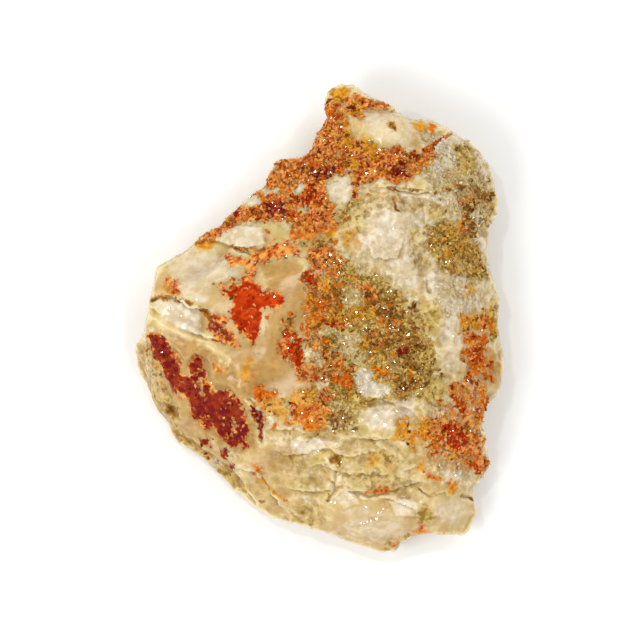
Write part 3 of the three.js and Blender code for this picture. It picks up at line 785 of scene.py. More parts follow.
def read_out(items, label, width, kind=float):
    """One property of all points, edges or faces of a mesh, as rows of numbers."""
    values = np.empty(len(items) * width, dtype=kind)
    items.foreach_get(label, values)
    return values.reshape(-1, width)


def coordinates(mesh):
    return read_out(mesh.vertices, "co", 3)


def normals(mesh):
    return read_out(mesh.vertex_normals, "vector", 3)


def move_points(mesh, places):
    mesh.vertices.foreach_set("co", places.ravel())
    mesh.update()


def applied(piece, kind, **settings):
    """Adds one modifier to a piece and applies it."""
    modifier = piece.modifiers.new(kind.lower(), kind)
    for key, value in settings.items():
        setattr(modifier, key, value)
    depsgraph = bpy.context.evaluated_depsgraph_get()
    mesh = bpy.data.meshes.new_from_object(piece.evaluated_get(depsgraph))
    piece.modifiers.clear()
    piece.data = mesh


stone = bpy.data.objects.new("milky_quartz_stone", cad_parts["quartz_matrix"].data.copy())
stone.data.materials.clear()
move_points(stone.data, coordinates(stone.data) / MM)
bpy.context.scene.collection.objects.link(stone)
applied(stone, "REMESH", mode="VOXEL", voxel_size=VOXEL)
print("remeshed:", len(stone.data.vertices), "points")

# %% [markdown]
# First the worn planes are smoothed. Each round moves every point to the mean of its neighbours,
# which takes the solid's small facets away but leaves its large forms. It fades out towards the
# rest face.

# %% Worn planes
WORN_ROUNDS = 70
WORN_SOFTNESS = 1.6
WORN_HEIGHTS = (2, 5)


def worn_mean(mesh, places, rounds):
    """The surface with its detail smoothed away, more of it the more rounds it has."""
    edges = read_out(mesh.edges, "vertices", 2, np.int64)
    count = np.maximum(np.bincount(edges.ravel(), minlength=len(places)), 1)
    for _ in range(rounds):
        columns = []
        for column in places.T:
            total = np.bincount(edges[:, 0], weights=column[edges[:, 1]], minlength=len(places))
            total += np.bincount(edges[:, 1], weights=column[edges[:, 0]], minlength=len(places))
            columns.append(total / count)
        places = np.column_stack(columns)
    return places


places = coordinates(stone.data)
worn_share = area_share(places, WORN, WORN_SOFTNESS) * soft_step(*WORN_HEIGHTS, places[:, 2])
worn = worn_mean(stone.data, places, WORN_ROUNDS)
places = places + (worn - places) * worn_share[:, None]
move_points(stone.data, places)
print("worn:", round(float((worn_share > 0.5).mean()) * 100), "% of the points")

# %% [markdown]
# Ledges, plates and cracks become a height for each point. A ledge wanders off its drawn line by a
# wobble, and fades out in places, as a real one does.

# %% Steps and grooves
PLATE_EDGE = 0.2
LEDGE_FADE = 1.6
LEDGE_REACH = 2
CRACK_REACH = 4


def step_height(places, flat, patchy):
    """Ledges, plates and cracks, in millimetres."""
    height = np.zeros(len(places))
    for drop, run, corners in LEDGES.values():
        close = near(places, corners, run * LEDGE_REACH)
        distance, side = line_distance(places[close], corners)
        fade = np.exp(-distance / run * LEDGE_FADE)
        height[close] += np.where(side > 0, 0.5, -0.5) * drop * fade * patchy[close]
    for rise, corners in PLATES.values():
        close = near(flat, corners, PLATE_EDGE)
        inside = inside_distance(flat[close], corners)
        height[close] += rise * soft_step(-PLATE_EDGE, PLATE_EDGE, inside)
    for depth, width, corners in CRACKS.values():
        close = near(places, corners, width * CRACK_REACH)
        distance, _ = line_distance(places[close], corners)
        height[close] -= depth * np.exp(-(distance / width) ** 2)
    return height


print("deepest crack:", max(crack[0] for crack in CRACKS.values()), "mm")

# %% [markdown]
# Then every point moves along its own normal: by the ledges and cracks where the stone faces up,
# by broad and small shell-like breaks that are shallow on smooth planes, by grains, and by deep
# bites in the side walls under the rim. The flat rest face stays as it is.

# %% Work the surface over
STONE_FACES = 190_000
REST_SKIN = 0.35
REST_FADE = (REST_SKIN * 0.3, REST_SKIN * 3)
UPWARD = (0.1, 0.6)
LEDGE_WANDER = ((0.35, 1.1, 61, 62), (0.7, 3.1, 65, 66))
LEDGE_GAPS = (2.6, 67)
GAP_LEVELS = (-0.7, 0.3)
PLATE_WANDER = 0.2
BROAD_BREAKS = (3.4, 10)
SMALL_BREAKS = (1.5, 30)
BREAK_AMOUNTS = {
    BROAD_BREAKS: {"depth": 0.75, "smooth": 0.04, "rough": 0.76, "wall": 0.3},
    SMALL_BREAKS: {"depth": 0.4, "smooth": 0.02, "rough": 0.7, "wall": 0.3},
}
GRAINS = (0.68, 50)
GRAIN_TILT = 0.09
GRAIN_STEP = 0.05
WALL_GRAIN = 0.8
GRAINY_EDGE = 1.2
SWELLS = (2.4, 81)
SWELL_HEIGHT = 0.12
SMOOTH_SWELL = 0.25
UNDER_RIM = (0.5, 3)
WALL_BITES = (5.5, 20)
BITE_DEPTH = 1.7
BITE_LEVEL = 0.9


def broken_surface(places, directions):
    """How far each point moves along its normal, in millimetres."""
    wander = wobble(places, *LEDGE_WANDER)
    upward = soft_step(*UPWARD, directions[:, 2])
    wall = 1 - upward
    patchy = soft_step(*GAP_LEVELS, lumps(places, *LEDGE_GAPS))
    flat = places[:, :2]
    moved = step_height(flat + wander, flat + PLATE_WANDER * wander, patchy) * upward
    calm = 1 - area_share(places, SMOOTH, SMOOTH_EDGE)
    for cells, amount in BREAK_AMOUNTS.items():
        share = amount["smooth"] + amount["rough"] * calm + amount["wall"] * wall
        moved += share * amount["depth"] * (scoops(places, *cells)[0] - 0.5)
    rough = np.maximum(area_share(places, GRAINY, GRAINY_EDGE), WALL_GRAIN * wall) * calm
    grain, grain_number = facets(places, *GRAINS)
    moved += rough * (GRAIN_TILT * grain + GRAIN_STEP * (grain_number - 0.5))
    swell = SMOOTH_SWELL + (1 - SMOOTH_SWELL) * calm
    moved += swell * SWELL_HEIGHT * lumps(places, *SWELLS)
    under_rim = wall * soft_step(*UNDER_RIM, RIM_HEIGHT - places[:, 2])
    moved += under_rim * BITE_DEPTH * (scoops(places, *WALL_BITES)[0] - BITE_LEVEL)
    return moved


directions = normals(stone.data)
off_rest = soft_step(*REST_FADE, places[:, 2])
moved = broken_surface(places, directions) * off_rest
worked = places + directions * moved[:, None]
worked[:, 2] = np.maximum(worked[:, 2], 0)
move_points(stone.data, worked)
applied(stone, "TRIANGULATE")
applied(stone, "DECIMATE", ratio=min(1.0, STONE_FACES / len(stone.data.polygons)))
print("stone:", len(stone.data.polygons), "faces, moved by up to",
      round(float(np.abs(moved).max()), 2), "mm")

# %% [markdown]
# Each point of the surface learns how much of every stain lies on it. The amounts could be painted
# by hand in vertex paint, and here the outlines do the painting. The edges are ragged, because each
# point is first shifted by a small wobble. All stains but the two soft ones have a faint halo.

# %% Stain amounts
STAIN_GROUPS = {
    "stain_pale": ("pink", "white", "olive"),
    "stain_warm": ("gold", "orange", "rust"),
    "stain_dark": ("red", "maroon", "brown"),
}
ALL_STAINS = [stain for stains in STAIN_GROUPS.values() for stain in stains]
SOFT_STAINS = ("pink", "white")
HARD_STAINS = [stain for stain in ALL_STAINS if stain not in SOFT_STAINS]
HALO_REACH = 1.7
SPECK_DENSITY = 0.85


def stain_shapes(flat, stain):
    """For each patch and speck: its density, the points near it and how far inside it they lie."""
    for density, corners in STAINS[stain].values():
        close = near(flat, corners, HALO_REACH)
        yield density, close, inside_distance(flat[close], corners)
    for x, y, width in numbers(SPECKS.get(stain, "")):
        centre = on_stone([(x, y)])
        radius = width / 2 * PIXEL_MM
        close = near(flat, centre, HALO_REACH + radius)
        yield SPECK_DENSITY, close, radius - np.linalg.norm(flat[close] - centre, axis=1)


print("stains:", ALL_STAINS)

# %% [markdown]
# The densest patch at a point decides its amount. Windows then clear what lies in them, and the
# lines are laid over that, with gaps where they fade out.

# %% Amount of one stain
EDGE_SOFTNESS = 0.55
SOFT_STAIN_EDGE = 0.5
HALO_SHARE = 0.4
RAGGEDNESS = 0.5
RAGGED_LAYERS = ((1, 0.9, 91, 93), (0.6, 0.4, 92, 94))
LINE_WANDER = 0.7
LINE_GAPS = (1.7, 68)
LINE_GAP_LEVELS = (-0.8, 0.1)


def stain_amount(places, stain):
    """From 0 to 1 for each point: the edge of a patch lies at a half."""
    shift = RAGGEDNESS * wobble(places, *RAGGED_LAYERS)
    flat = places[:, :2] + shift
    edge = SOFT_STAIN_EDGE if stain in SOFT_STAINS else EDGE_SOFTNESS
    amount = np.zeros(len(places))
    for density, close, inside in stain_shapes(flat, stain):
        here = density * np.clip(0.5 + inside / (2 * edge), 0, 1)
        if stain in HARD_STAINS:
            here = np.maximum(here, density * HALO_SHARE * np.clip(1 + inside / HALO_REACH, 0, 1))
        amount[close] = np.maximum(amount[close], here)
    if stain in HARD_STAINS:
        for clearness, corners in WINDOWS.values():
            close = near(flat, corners, edge)
            inside = inside_distance(flat[close], corners)
            amount[close] *= 1 - clearness * np.clip(0.5 + inside / edge, 0, 1)
    for density, width, corners in STAIN_LINES.get(stain, {}).values():
        close = near(flat, corners, width * 2)
        distance, _ = line_distance(places[close][:, :2] + LINE_WANDER * shift[close], corners)
        here = density * np.clip(1 - 0.5 * distance / width, 0, 1)
        here *= soft_step(*LINE_GAP_LEVELS, lumps(places[close], *LINE_GAPS))
        amount[close] = np.maximum(amount[close], here)
    return amount


def stain_table(places):
    return {stain: stain_amount(places, stain) for stain in ALL_STAINS}


places = coordinates(stone.data)
directions = normals(stone.data)
amounts = stain_table(places)
print("rust covers", round(float((amounts["rust"] > 0.5).mean()) * 100), "% of the points")

# %% [markdown]
# The amounts are stored on the mesh in colour attributes, three stains to each, and the shader
# reads them from there. The photograph shows nothing of the steep undersides, so the stains fade
# out down the walls.

# %% Store the stains
STAINED_SLOPES = (-0.35, 0.2)
STAINED_HEIGHTS = (1.0, 4.8)


def store_colours(mesh, name, channels):
    """Keeps three values for each point of a mesh in one colour attribute."""
    attribute = mesh.attributes.new(name, "FLOAT_COLOR", "POINT")
    values = np.ones((len(mesh.vertices), 4))
    values[:, :3] = np.column_stack(channels)
    attribute.data.foreach_set("color", values.ravel())


facing_up = soft_step(*STAINED_SLOPES, directions[:, 2]) * soft_step(*STAINED_HEIGHTS, places[:, 2])
stone_amounts = {stain: amount * facing_up for stain, amount in amounts.items()}
for group, stains in STAIN_GROUPS.items():
    store_colours(stone.data, group, [stone_amounts[stain] for stain in stains])
print("stored:", list(STAIN_GROUPS))

# %% [markdown]
# Two more attributes belong to the quartz. One gives every grain and every break a number, so that
# single faces can be lighter or darker. The other says how deep a point lies in a crevice, by
# comparing the surface with a smoothed copy of it, and how freckled the area is.

# %% Grains and crevices
TINT_GRAINS = (0.42, 55)
TINT_RANGE = (0.15, 0.7)
SMALL_TINT_SHARE = 0.55
CREASE_FULL = 0.06
CREVICE_DEPTHS = (-0.05, 0.3)
FINE_ROUNDS = 3
BROAD_ROUNDS = 30
FRECKLED_ANYWHERE = 0.32
FRECKLED_EDGE = 1.5
SMOOTH_UNFRECKLED = 0.7


def crevice_depth(mesh, rounds):
    """How far each point lies below the mean surface round it, in millimetres."""
    places = coordinates(mesh)
    below = worn_mean(mesh, places, rounds) - places
    return (below * normals(mesh)).sum(axis=1)


broken_tint = SMALL_TINT_SHARE * scoops(places, *SMALL_BREAKS)[1]
broken_tint += (1 - SMALL_TINT_SHARE) * scoops(places, *BROAD_BREAKS)[1]
own_tint = TINT_RANGE[0] + TINT_RANGE[1] * facets(places, *TINT_GRAINS)[1]
stone_tints = [facets(places, *GRAINS)[1], broken_tint, own_tint]
store_colours(stone.data, "grain_tint", stone_tints)
fine_crevice = np.clip(crevice_depth(stone.data, FINE_ROUNDS) / CREASE_FULL, -1, 1)
broad_crevice = crevice_depth(stone.data, BROAD_ROUNDS)
freckled = np.maximum(FRECKLED_ANYWHERE, area_share(places, FRECKLED, FRECKLED_EDGE))
freckled = freckled * (1 - SMOOTH_UNFRECKLED * area_share(places, SMOOTH, SMOOTH_EDGE))
stone_crevices = [0.5 + 0.5 * fine_crevice, soft_step(*CREVICE_DEPTHS, broad_crevice), freckled]
store_colours(stone.data, "crevice", stone_crevices)
print("crevices reach", round(float(broad_crevice.max()), 2), "mm")

# %% [markdown]
# A shader is a tree of nodes. A few helpers place the usual ones, so that the trees further down
# read like sums.

# %% Arithmetic nodes
def feed(tree, socket, value):
    """Links a value to a socket, or sets the socket where the value is a plain number or colour."""
    if isinstance(value, bpy.types.NodeSocket):
        tree.links.new(value, socket)
    else:
        socket.default_value = value


def math_node(tree, operation, first, second, clamp=False):
    """One step of arithmetic on two values."""
    node = tree.nodes.new("ShaderNodeMath")
    node.operation = operation
    node.use_clamp = clamp
    feed(tree, node.inputs[0], first)
    feed(tree, node.inputs[1], second)
    return node.outputs[0]


def times(tree, *factors):
    """The product of two or more values."""
    product = factors[0]
    for factor in factors[1:]:
        product = math_node(tree, "MULTIPLY", product, factor)
    return product


def centred(tree, value):
    return math_node(tree, "SUBTRACT", value, 0.5)


def ramp(tree, value, start, slope):
    """Rises from 0 where the value is at its start, by the slope, and stops at 1."""
    return math_node(tree, "MULTIPLY", math_node(tree, "SUBTRACT", value, start), slope, clamp=True)


def noise_node(tree, vector, scale, detail, roughness=0.5):
    node = tree.nodes.new("ShaderNodeTexNoise")
    settings = {"Vector": vector, "Scale": scale, "Detail": detail, "Roughness": roughness}
    for label, value in settings.items():
        feed(tree, node.inputs[label], value)
    return node.outputs["Fac"]


print("arithmetic:", [helper.__name__ for helper in (math_node, times, centred, ramp, noise_node)])

# %% [markdown]
# Colours are written as they look on a screen and turned into the linear values that a shader
# needs. An effect that several materials share becomes a group: a small tree with named inputs,
# which is built once and then placed wherever it is needed.

# %% Colours and groups
SOCKET_KINDS = {float: "NodeSocketFloat", tuple: "NodeSocketColor", type(None): "NodeSocketVector"}


def mix_colour(tree, share, first, second, blend="MIX"):
    """A mix of two colours, with a share from 0 to 1 of the second."""
    node = tree.nodes.new("ShaderNodeMix")
    node.data_type = "RGBA"
    node.blend_type = blend
    node.clamp_factor = True
    for label, value in {"Factor": share, "A": first, "B": second}.items():
        feed(tree, node.inputs[label], value)
    return node.outputs["Result"]


def linear(red, green, blue):
    """A colour as seen on a screen, 0 to 255, as the linear colour for a shader, by the sRGB curve."""
    shares = [value / 255 for value in (red, green, blue)]
    return tuple([s / 12.92 if s <= 0.04045 else ((s + 0.055) / 1.055) ** 2.4 for s in shares] + [1])


def new_group(name, inputs, output, output_kind="NodeSocketFloat"):
    """A group with one output. An input is given as a number, a colour, or None for a vector."""
    group = bpy.data.node_groups.new(name, "ShaderNodeTree")
    for label, value in inputs.items():
        kind = SOCKET_KINDS[type(value)]
        socket = group.interface.new_socket(label, in_out="INPUT", socket_type=kind)
        if value is not None:
            socket.default_value = value
    group.interface.new_socket(output, in_out="OUTPUT", socket_type=output_kind)
    entry = group.nodes.new("NodeGroupInput")
    last = group.nodes.new("NodeGroupOutput")
    return group, entry.outputs, last.inputs[output]


print("a mid grey is", round(linear(128, 128, 128)[0], 2), "in the shader")

# %% [markdown]
# The first group turns a soft amount of stain into a ragged mask: fine noise decides which specks
# of a sparse patch are there.

# %% Ragged speckle
SPECK_NOISE = (3.0, 0.6)
PRESENT_SLOPE = 8.0


def build_speckle_group():
    group, inputs, mask = new_group("ragged_speckle", {
        "Amount": 0.5, "Vector": None, "Speck Scale": 2600.0, "Raggedness": 0.7, "Steepness": 6.0,
    }, "Mask")
    fine = noise_node(group, inputs["Vector"], inputs["Speck Scale"], *SPECK_NOISE)
    spread = times(group, centred(group, fine), 2.0, inputs["Raggedness"])
    total = math_node(group, "ADD", inputs["Amount"], spread)
    steep = times(group, centred(group, total), inputs["Steepness"])
    ragged = math_node(group, "ADD", steep, 0.5, clamp=True)
    present = math_node(group, "MULTIPLY", inputs["Amount"], PRESENT_SLOPE, clamp=True)
    feed(group, mask, times(group, ragged, present))
    return group


speckle_group = build_speckle_group()
print("group:", speckle_group.name)

# %% [markdown]
# The second group gives a mineral its living colour: a light and a dark tone that drift into each
# other over several scales, with each small grain a little lighter or darker than the next.

# %% Drifting tone
DRIFT_NOISE = (5.0, 0.62)
DRIFT_CONTRAST = 2.4


def build_tone_group():
    group, inputs, colour = new_group("drifting_tone", {
        "Light Tone": (0.8, 0.7, 0.5, 1), "Dark Tone": (0.5, 0.4, 0.2, 1), "Grain": 0.5,
        "Vector": None, "Drift Scale": 420.0, "Grain Share": 0.4,
    }, "Colour", "NodeSocketColor")
    drift = noise_node(group, inputs["Vector"], inputs["Drift Scale"], *DRIFT_NOISE)
    spread = times(group, centred(group, drift), DRIFT_CONTRAST)
    grain = times(group, centred(group, inputs["Grain"]), inputs["Grain Share"], 2.0)
    share = math_node(group, "ADD", math_node(group, "ADD", spread, grain), 0.5, clamp=True)
    feed(group, colour, mix_colour(group, share, inputs["Light Tone"], inputs["Dark Tone"]))
    return group


tone_group = build_tone_group()
print("group:", tone_group.name)

# %% [markdown]
# The third group is the relief that is too fine for the mesh: tiny crystal faces and a rough skin.
# It gives back a height for a Bump node.

# %% Fine relief
SKIN_DETAIL = 3.0


def build_relief_group():
    group, inputs, height = new_group("fine_relief", {
        "Vector": None, "Facet Scale": 2400.0, "Facet Height": 1.0, "Skin Scale": 6000.0,
        "Skin Height": 0.3,
    }, "Height")
    cells = group.nodes.new("ShaderNodeTexVoronoi")
    cells.feature = "F1"
    feed(group, cells.inputs["Vector"], inputs["Vector"])
    feed(group, cells.inputs["Scale"], inputs["Facet Scale"])
    skin = noise_node(group, inputs["Vector"], inputs["Skin Scale"], SKIN_DETAIL)
    facet = times(group, cells.outputs["Distance"], inputs["Facet Height"])
    rough = times(group, skin, inputs["Skin Height"])
    feed(group, height, math_node(group, "SUBTRACT", rough, facet))
    return group


relief_group = build_relief_group()
print("groups:", [group.name for group in bpy.data.node_groups])

# %% [markdown]
# The ground colour is milky quartz. Single breaks in it are a little yellower or rosier than the
# rest. Its hollows and creases are darkened with painted shade, freckles lie on it, and its ridges
# are lightened with a painted highlight.

# %% Quartz colours
QUARTZ_TONES = (linear(226, 202, 148), linear(192, 162, 98))
FACE_TINTS = ((linear(200, 180, 100), 0.4, -5.0), (linear(218, 186, 138), 0.62, 5.0))
FACE_TINT_SHARE = 0.6
# The crevice tone with its hollow and crease shares is painted shade, and the ridge tone is a painted
# highlight.
CREVICE_SHADE_TONE = linear(160, 124, 54)
CREASE_RAMP = (0.52, 2.1)
CREASE_SHADE_SHARE = 0.35
HOLLOW_SHADE_SHARE = 0.5
HOLLOW_SHADE_VEIL = (620.0, 4.0, 0.6)
HOLLOW_SHADE_LEAST = 0.25
RIDGE_HIGHLIGHT_TONE = linear(244, 230, 194)
RIDGE_RAMP = (0.46, -2.2)
RIDGE_HIGHLIGHT_SHARE = 0.45
FRECKLES = ((linear(188, 162, 86), 480.0, 0.6), (linear(238, 226, 196), 700.0, 0.6),
            (linear(150, 114, 52), 1500.0, 0.5))


def place_group(tree, group, **values):
    """Places a shared group in a tree. A space in a socket's name is written as an underscore."""
    node = tree.nodes.new("ShaderNodeGroup")
    node.node_tree = group
    for label, value in values.items():
        feed(tree, node.inputs[label.replace("_", " ")], value)
    return node.outputs[0]


def clean_quartz(tree, vector, break_tint):
    """Drifting cream and tan, with some breaks yellower and some rosier."""
    colour = place_group(tree, tone_group, Light_Tone=QUARTZ_TONES[0], Dark_Tone=QUARTZ_TONES[1],
                         Grain=break_tint, Vector=vector, Drift_Scale=330.0, Grain_Share=0.55)
    for tone, start, slope in FACE_TINTS:
        share = times(tree, ramp(tree, break_tint, start, slope), FACE_TINT_SHARE)
        colour = mix_colour(tree, share, colour, tone)
    return colour


def with_freckles_and_painted_light(tree, vector, crevices, colour):
    """Painted shade in the hollows and creases, freckles, and a painted highlight on the ridges."""
    fine, broad, freckled = crevices
    # Painted shade: the broad hollows and the fine creases are mixed toward a darker tone.
    veil = noise_node(tree, vector, *HOLLOW_SHADE_VEIL)
    settled = times(tree, broad, math_node(tree, "ADD", veil, HOLLOW_SHADE_LEAST))
    crease_shade = times(tree, ramp(tree, fine, *CREASE_RAMP), CREASE_SHADE_SHARE)
    settled = math_node(tree, "ADD", settled, crease_shade, clamp=True)
    colour = mix_colour(tree, times(tree, settled, HOLLOW_SHADE_SHARE), colour, CREVICE_SHADE_TONE)
    for tone, scale, strength in FRECKLES:
        freckle = place_group(tree, speckle_group, Amount=freckled, Vector=vector, Speck_Scale=scale,
                              Raggedness=0.9, Steepness=3.0)
        colour = mix_colour(tree, times(tree, freckle, strength), colour, tone)
    # Painted highlight: the ridges of the fine relief are mixed toward a pale tone.
    ridge_highlight = times(tree, ramp(tree, fine, *RIDGE_RAMP), RIDGE_HIGHLIGHT_SHARE)
    return mix_colour(tree, ridge_highlight, colour, RIDGE_HIGHLIGHT_TONE)


print("quartz tones:", len(QUARTZ_TONES), "freckle tones:", len(FRECKLES))

# %% [markdown]
# Each stain lies over the quartz in turn, with its own two tones. Its row says how fine its specks
# are, how ragged its edge is and how steeply it rises there.

# %% Stain colours
STAIN_LOOKS = {
    "pink": (linear(196, 154, 84), linear(174, 130, 58), 500.0, 0.2, 2.0),
    "white": (linear(234, 223, 204), linear(214, 196, 162), 700.0, 0.35, 2.0),
    "olive": (linear(212, 184, 102), linear(144, 110, 46), 1500.0, 0.35, 2.6),
    "gold": (linear(222, 162, 48), linear(194, 124, 20), 1300.0, 0.45, 2.6),
    "orange": (linear(218, 124, 30), linear(192, 86, 8), 1700.0, 0.5, 3.0),
    "rust": (linear(240, 164, 78), linear(164, 56, 12), 2100.0, 0.6, 6.0),
    "red": (linear(202, 68, 10), linear(160, 36, 2), 1500.0, 0.6, 6.0),
    "maroon": (linear(152, 52, 24), linear(114, 22, 30), 1300.0, 0.6, 6.0),
    "brown": (linear(170, 118, 50), linear(116, 74, 22), 2300.0, 0.6, 3.5),
}
SOFT_STAIN_SHARE = 0.8


def attribute_channels(tree, name):
    """The three values that a colour attribute of the mesh holds."""
    attribute = tree.nodes.new("ShaderNodeAttribute")
    attribute.attribute_name = name
    split = tree.nodes.new("ShaderNodeSeparateColor")
    tree.links.new(attribute.outputs["Color"], split.inputs["Color"])
    return [split.outputs[channel] for channel in ("Red", "Green", "Blue")]


def stained(tree, vector, grain, colour):
    """The stains laid over a colour, and a mask of where any of the hard ones lies."""
    masks = []
    for group, stains in STAIN_GROUPS.items():
        for stain, amount in zip(stains, attribute_channels(tree, group)):
            light, dark, scale, raggedness, steepness = STAIN_LOOKS[stain]
            mask = place_group(tree, speckle_group, Amount=amount, Vector=vector, Speck_Scale=scale,
                               Raggedness=raggedness, Steepness=steepness)
            tone = place_group(tree, tone_group, Light_Tone=light, Dark_Tone=dark, Grain=grain,
                               Vector=vector, Drift_Scale=1500.0, Grain_Share=0.7)
            if stain in SOFT_STAINS:
                mask = times(tree, mask, SOFT_STAIN_SHARE)
            else:
                masks.append(mask)
            colour = mix_colour(tree, mask, colour, tone)
    dull = masks[0]
    for mask in masks[1:]:
        dull = math_node(tree, "MAXIMUM", dull, mask)
    return colour, dull


print("stain looks:", list(STAIN_LOOKS))

# %% [markdown]
# Single crystals in a crust are paler or darker than the ones beside them, and the pale ones stand in
# for sparkle as a painted highlight. The creases of the stone get painted shade the same way as the
# dark crystals, by multiplying with a darker tone.

# %% Pale and dark grains, with painted sparkle
PALE_GRAIN_AND_SPARKLE = linear(240, 184, 104)
PALE_RAMP = (0.7, 3.3)
PALE_AND_SPARKLE_SHARE = 0.6
DARK_GRAIN = linear(130, 96, 66)
DARK_RAMP = (0.35, -3.0)
DARK_SHARE = 0.75


def darkened(tree, share, colour, tone):
    """A share of the colour is multiplied by a darker tone."""
    return mix_colour(tree, share, colour, mix_colour(tree, 1.0, colour, tone, "MULTIPLY"))


def mottled(tree, own_tint, dull, colour):
    """Single crystals that are paler or darker than the rest of the crust, the pale ones a painted
    sparkle.
    """
    # Painted highlight: the palest crystals are mixed toward a light tone as sparkle.
    pale = times(tree, ramp(tree, own_tint, *PALE_RAMP), dull, PALE_AND_SPARKLE_SHARE)
    dark = times(tree, ramp(tree, own_tint, *DARK_RAMP), dull, DARK_SHARE)
    return darkened(tree, dark, mix_colour(tree, pale, colour, PALE_GRAIN_AND_SPARKLE), DARK_GRAIN)


print("a pale grain in the shader:", [round(channel, 2) for channel in PALE_GRAIN_AND_SPARKLE[:3]])

# %% [markdown]
# Quartz is glassy, and the stains on it are duller and rougher. Three small functions turn the
# mask of the stains into gloss, relief and shine.

# %% Surface of the mineral
GLOSS_SPREAD = 0.3
STAIN_ROUGHNESS = 0.1
BUMP_STRENGTH = 0.5
BUMP_DISTANCE = 0.00012
CLEAN_RELIEF = 0.1
SHINE = 0.5
LOST_SHINE = 0.48
BRIGHT_FACES = (0.8, 8.0)


def gloss_roughness(tree, gloss, dull, roughness):
    """The roughness of the clean mineral, spread a little either way and raised by stains."""
    base = math_node(tree, "ADD", times(tree, gloss, GLOSS_SPREAD), roughness - GLOSS_SPREAD / 2)
    return math_node(tree, "ADD", base, times(tree, dull, STAIN_ROUGHNESS), clamp=True)


def fine_bump(tree, vector, dull):
    """The fine relief as a normal, strongest where the stone is stained."""
    relief = place_group(tree, relief_group, Vector=vector, Facet_Scale=1900.0, Facet_Height=1.0,
                         Skin_Scale=5200.0, Skin_Height=0.5)
    bump = tree.nodes.new("ShaderNodeBump")
    bump.inputs["Strength"].default_value = BUMP_STRENGTH
    bump.inputs["Distance"].default_value = BUMP_DISTANCE
    feed(tree, bump.inputs["Height"], times(tree, relief, math_node(tree, "ADD", dull, CLEAN_RELIEF)))
    return bump.outputs["Normal"]


def shine_level(tree, own_tint, dull):
    """Stained faces lose nearly all their shine, apart from a few that stay bright."""
    bright = ramp(tree, own_tint, *BRIGHT_FACES)
    lost = times(tree, dull, math_node(tree, "SUBTRACT", LOST_SHINE, bright, clamp=True))
    return math_node(tree, "SUBTRACT", SHINE, lost)


print("shine runs from", round(SHINE - LOST_SHINE, 2), "to", SHINE)

# %% [markdown]
# One function puts colour, gloss and relief together, and makes a material for the stone, for the
# crystals and for the sugary grains. Light enters clean quartz a little way, and stains let in
# less of it. A crystal has one gloss all over, while the stone has patches of it, and only the
# stone has crevices.

# %% Mineral material
QUARTZ_BODY = {"IOR": 1.54, "Subsurface Scale": 0.002, "Subsurface Radius": (1.0, 0.85, 0.6)}
STAIN_BLOCKS_LIGHT = 0.8
GLOSS_PATCHES = (1400.0, 3.0)


def mineral_material(name, roughness, translucency, crystals):
    """Quartz with the stains over it."""
    material = bpy.data.materials.new(name)
    material.use_nodes = True
    tree = material.node_tree
    vector = tree.nodes.new("ShaderNodeTexCoord").outputs["Object"]
    grain, break_tint, own_tint = attribute_channels(tree, "grain_tint")
    colour = clean_quartz(tree, vector, break_tint)
    if crystals:
        colour, dull = stained(tree, vector, grain, colour)
        gloss = math_node(tree, "SUBTRACT", 1.0, own_tint)
    else:
        crevices = attribute_channels(tree, "crevice")
        colour = with_freckles_and_painted_light(tree, vector, crevices, colour)
        colour, dull = stained(tree, vector, grain, colour)
        # Painted shade in the creases once more, by multiplying with the darker tone.
        crease_shade = times(tree, ramp(tree, crevices[0], *CREASE_RAMP), CREASE_SHADE_SHARE)
        colour = darkened(tree, crease_shade, colour, CREVICE_SHADE_TONE)
        gloss = noise_node(tree, vector, *GLOSS_PATCHES)
    clear = math_node(tree, "SUBTRACT", 1.0, times(tree, dull, STAIN_BLOCKS_LIGHT))
    shader = tree.nodes["Principled BSDF"]
    feed(tree, shader.inputs["Base Color"], mottled(tree, own_tint, dull, colour))
    feed(tree, shader.inputs["Roughness"], gloss_roughness(tree, gloss, dull, roughness))
    feed(tree, shader.inputs["Normal"], fine_bump(tree, vector, dull))
    feed(tree, shader.inputs["Subsurface Weight"], times(tree, clear, translucency))
    feed(tree, shader.inputs["Specular IOR Level"], shine_level(tree, own_tint, dull))
    for label, value in QUARTZ_BODY.items():
        shader.inputs[label].default_value = value
    return material


stone.data.materials.append(mineral_material("milky_quartz", 0.22, 0.8, False))
stone.data.shade_smooth()
print("nodes of the quartz:", len(stone.data.materials[0].node_tree.nodes))

# %% [markdown]
# The stone stands for the solid it was made from and lies where that lies. Its surface is kept in a
# search tree, so that crystals can be set down on it.

# %% Put the stone in place
ABOVE_STONE = 40
DOWN = Vector((0, 0, -1))

stone_places = coordinates(stone.data)
stone_normals = normals(stone.data)
stone_faces = read_out(stone.data.polygons, "vertices", 3, np.int64)
surface = BVHTree.FromPolygons(stone_places.tolist(), stone_faces.tolist())
move_points(stone.data, stone_places * MM)


def stone_under(x, y):
    """The place and the normal of the surface straight below a point. Off the stone, both are None."""
    return surface.ray_cast(Vector((x, y, ABOVE_STONE)), DOWN)[:2]


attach(stone, "root")
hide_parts("quartz_matrix")
print("stone box:", [round(side / MM, 1) for side in stone.dimensions])

# %% [markdown]
# The crusts are real crystals: skewed cubes of half a millimetre or less. A particle system could
# scatter them, but the export drops particles, so they are built as one joined mesh, and each has
# its own stretch and turn.

# %% Crystals
CUBE = np.array([(x, y, z) for x in (-0.5, 0.5) for y in (-0.5, 0.5) for z in (-0.5, 0.5)])
CUBE_FACES = np.array([
    (0, 1, 3, 2), (4, 6, 7, 5), (0, 4, 5, 1), (2, 3, 7, 6), (0, 2, 6, 4), (1, 5, 7, 3)])
CRYSTAL_SKEW = 0.25
CRYSTAL_STRETCH = (0.75, 1.25)
chance = np.random.default_rng(52)


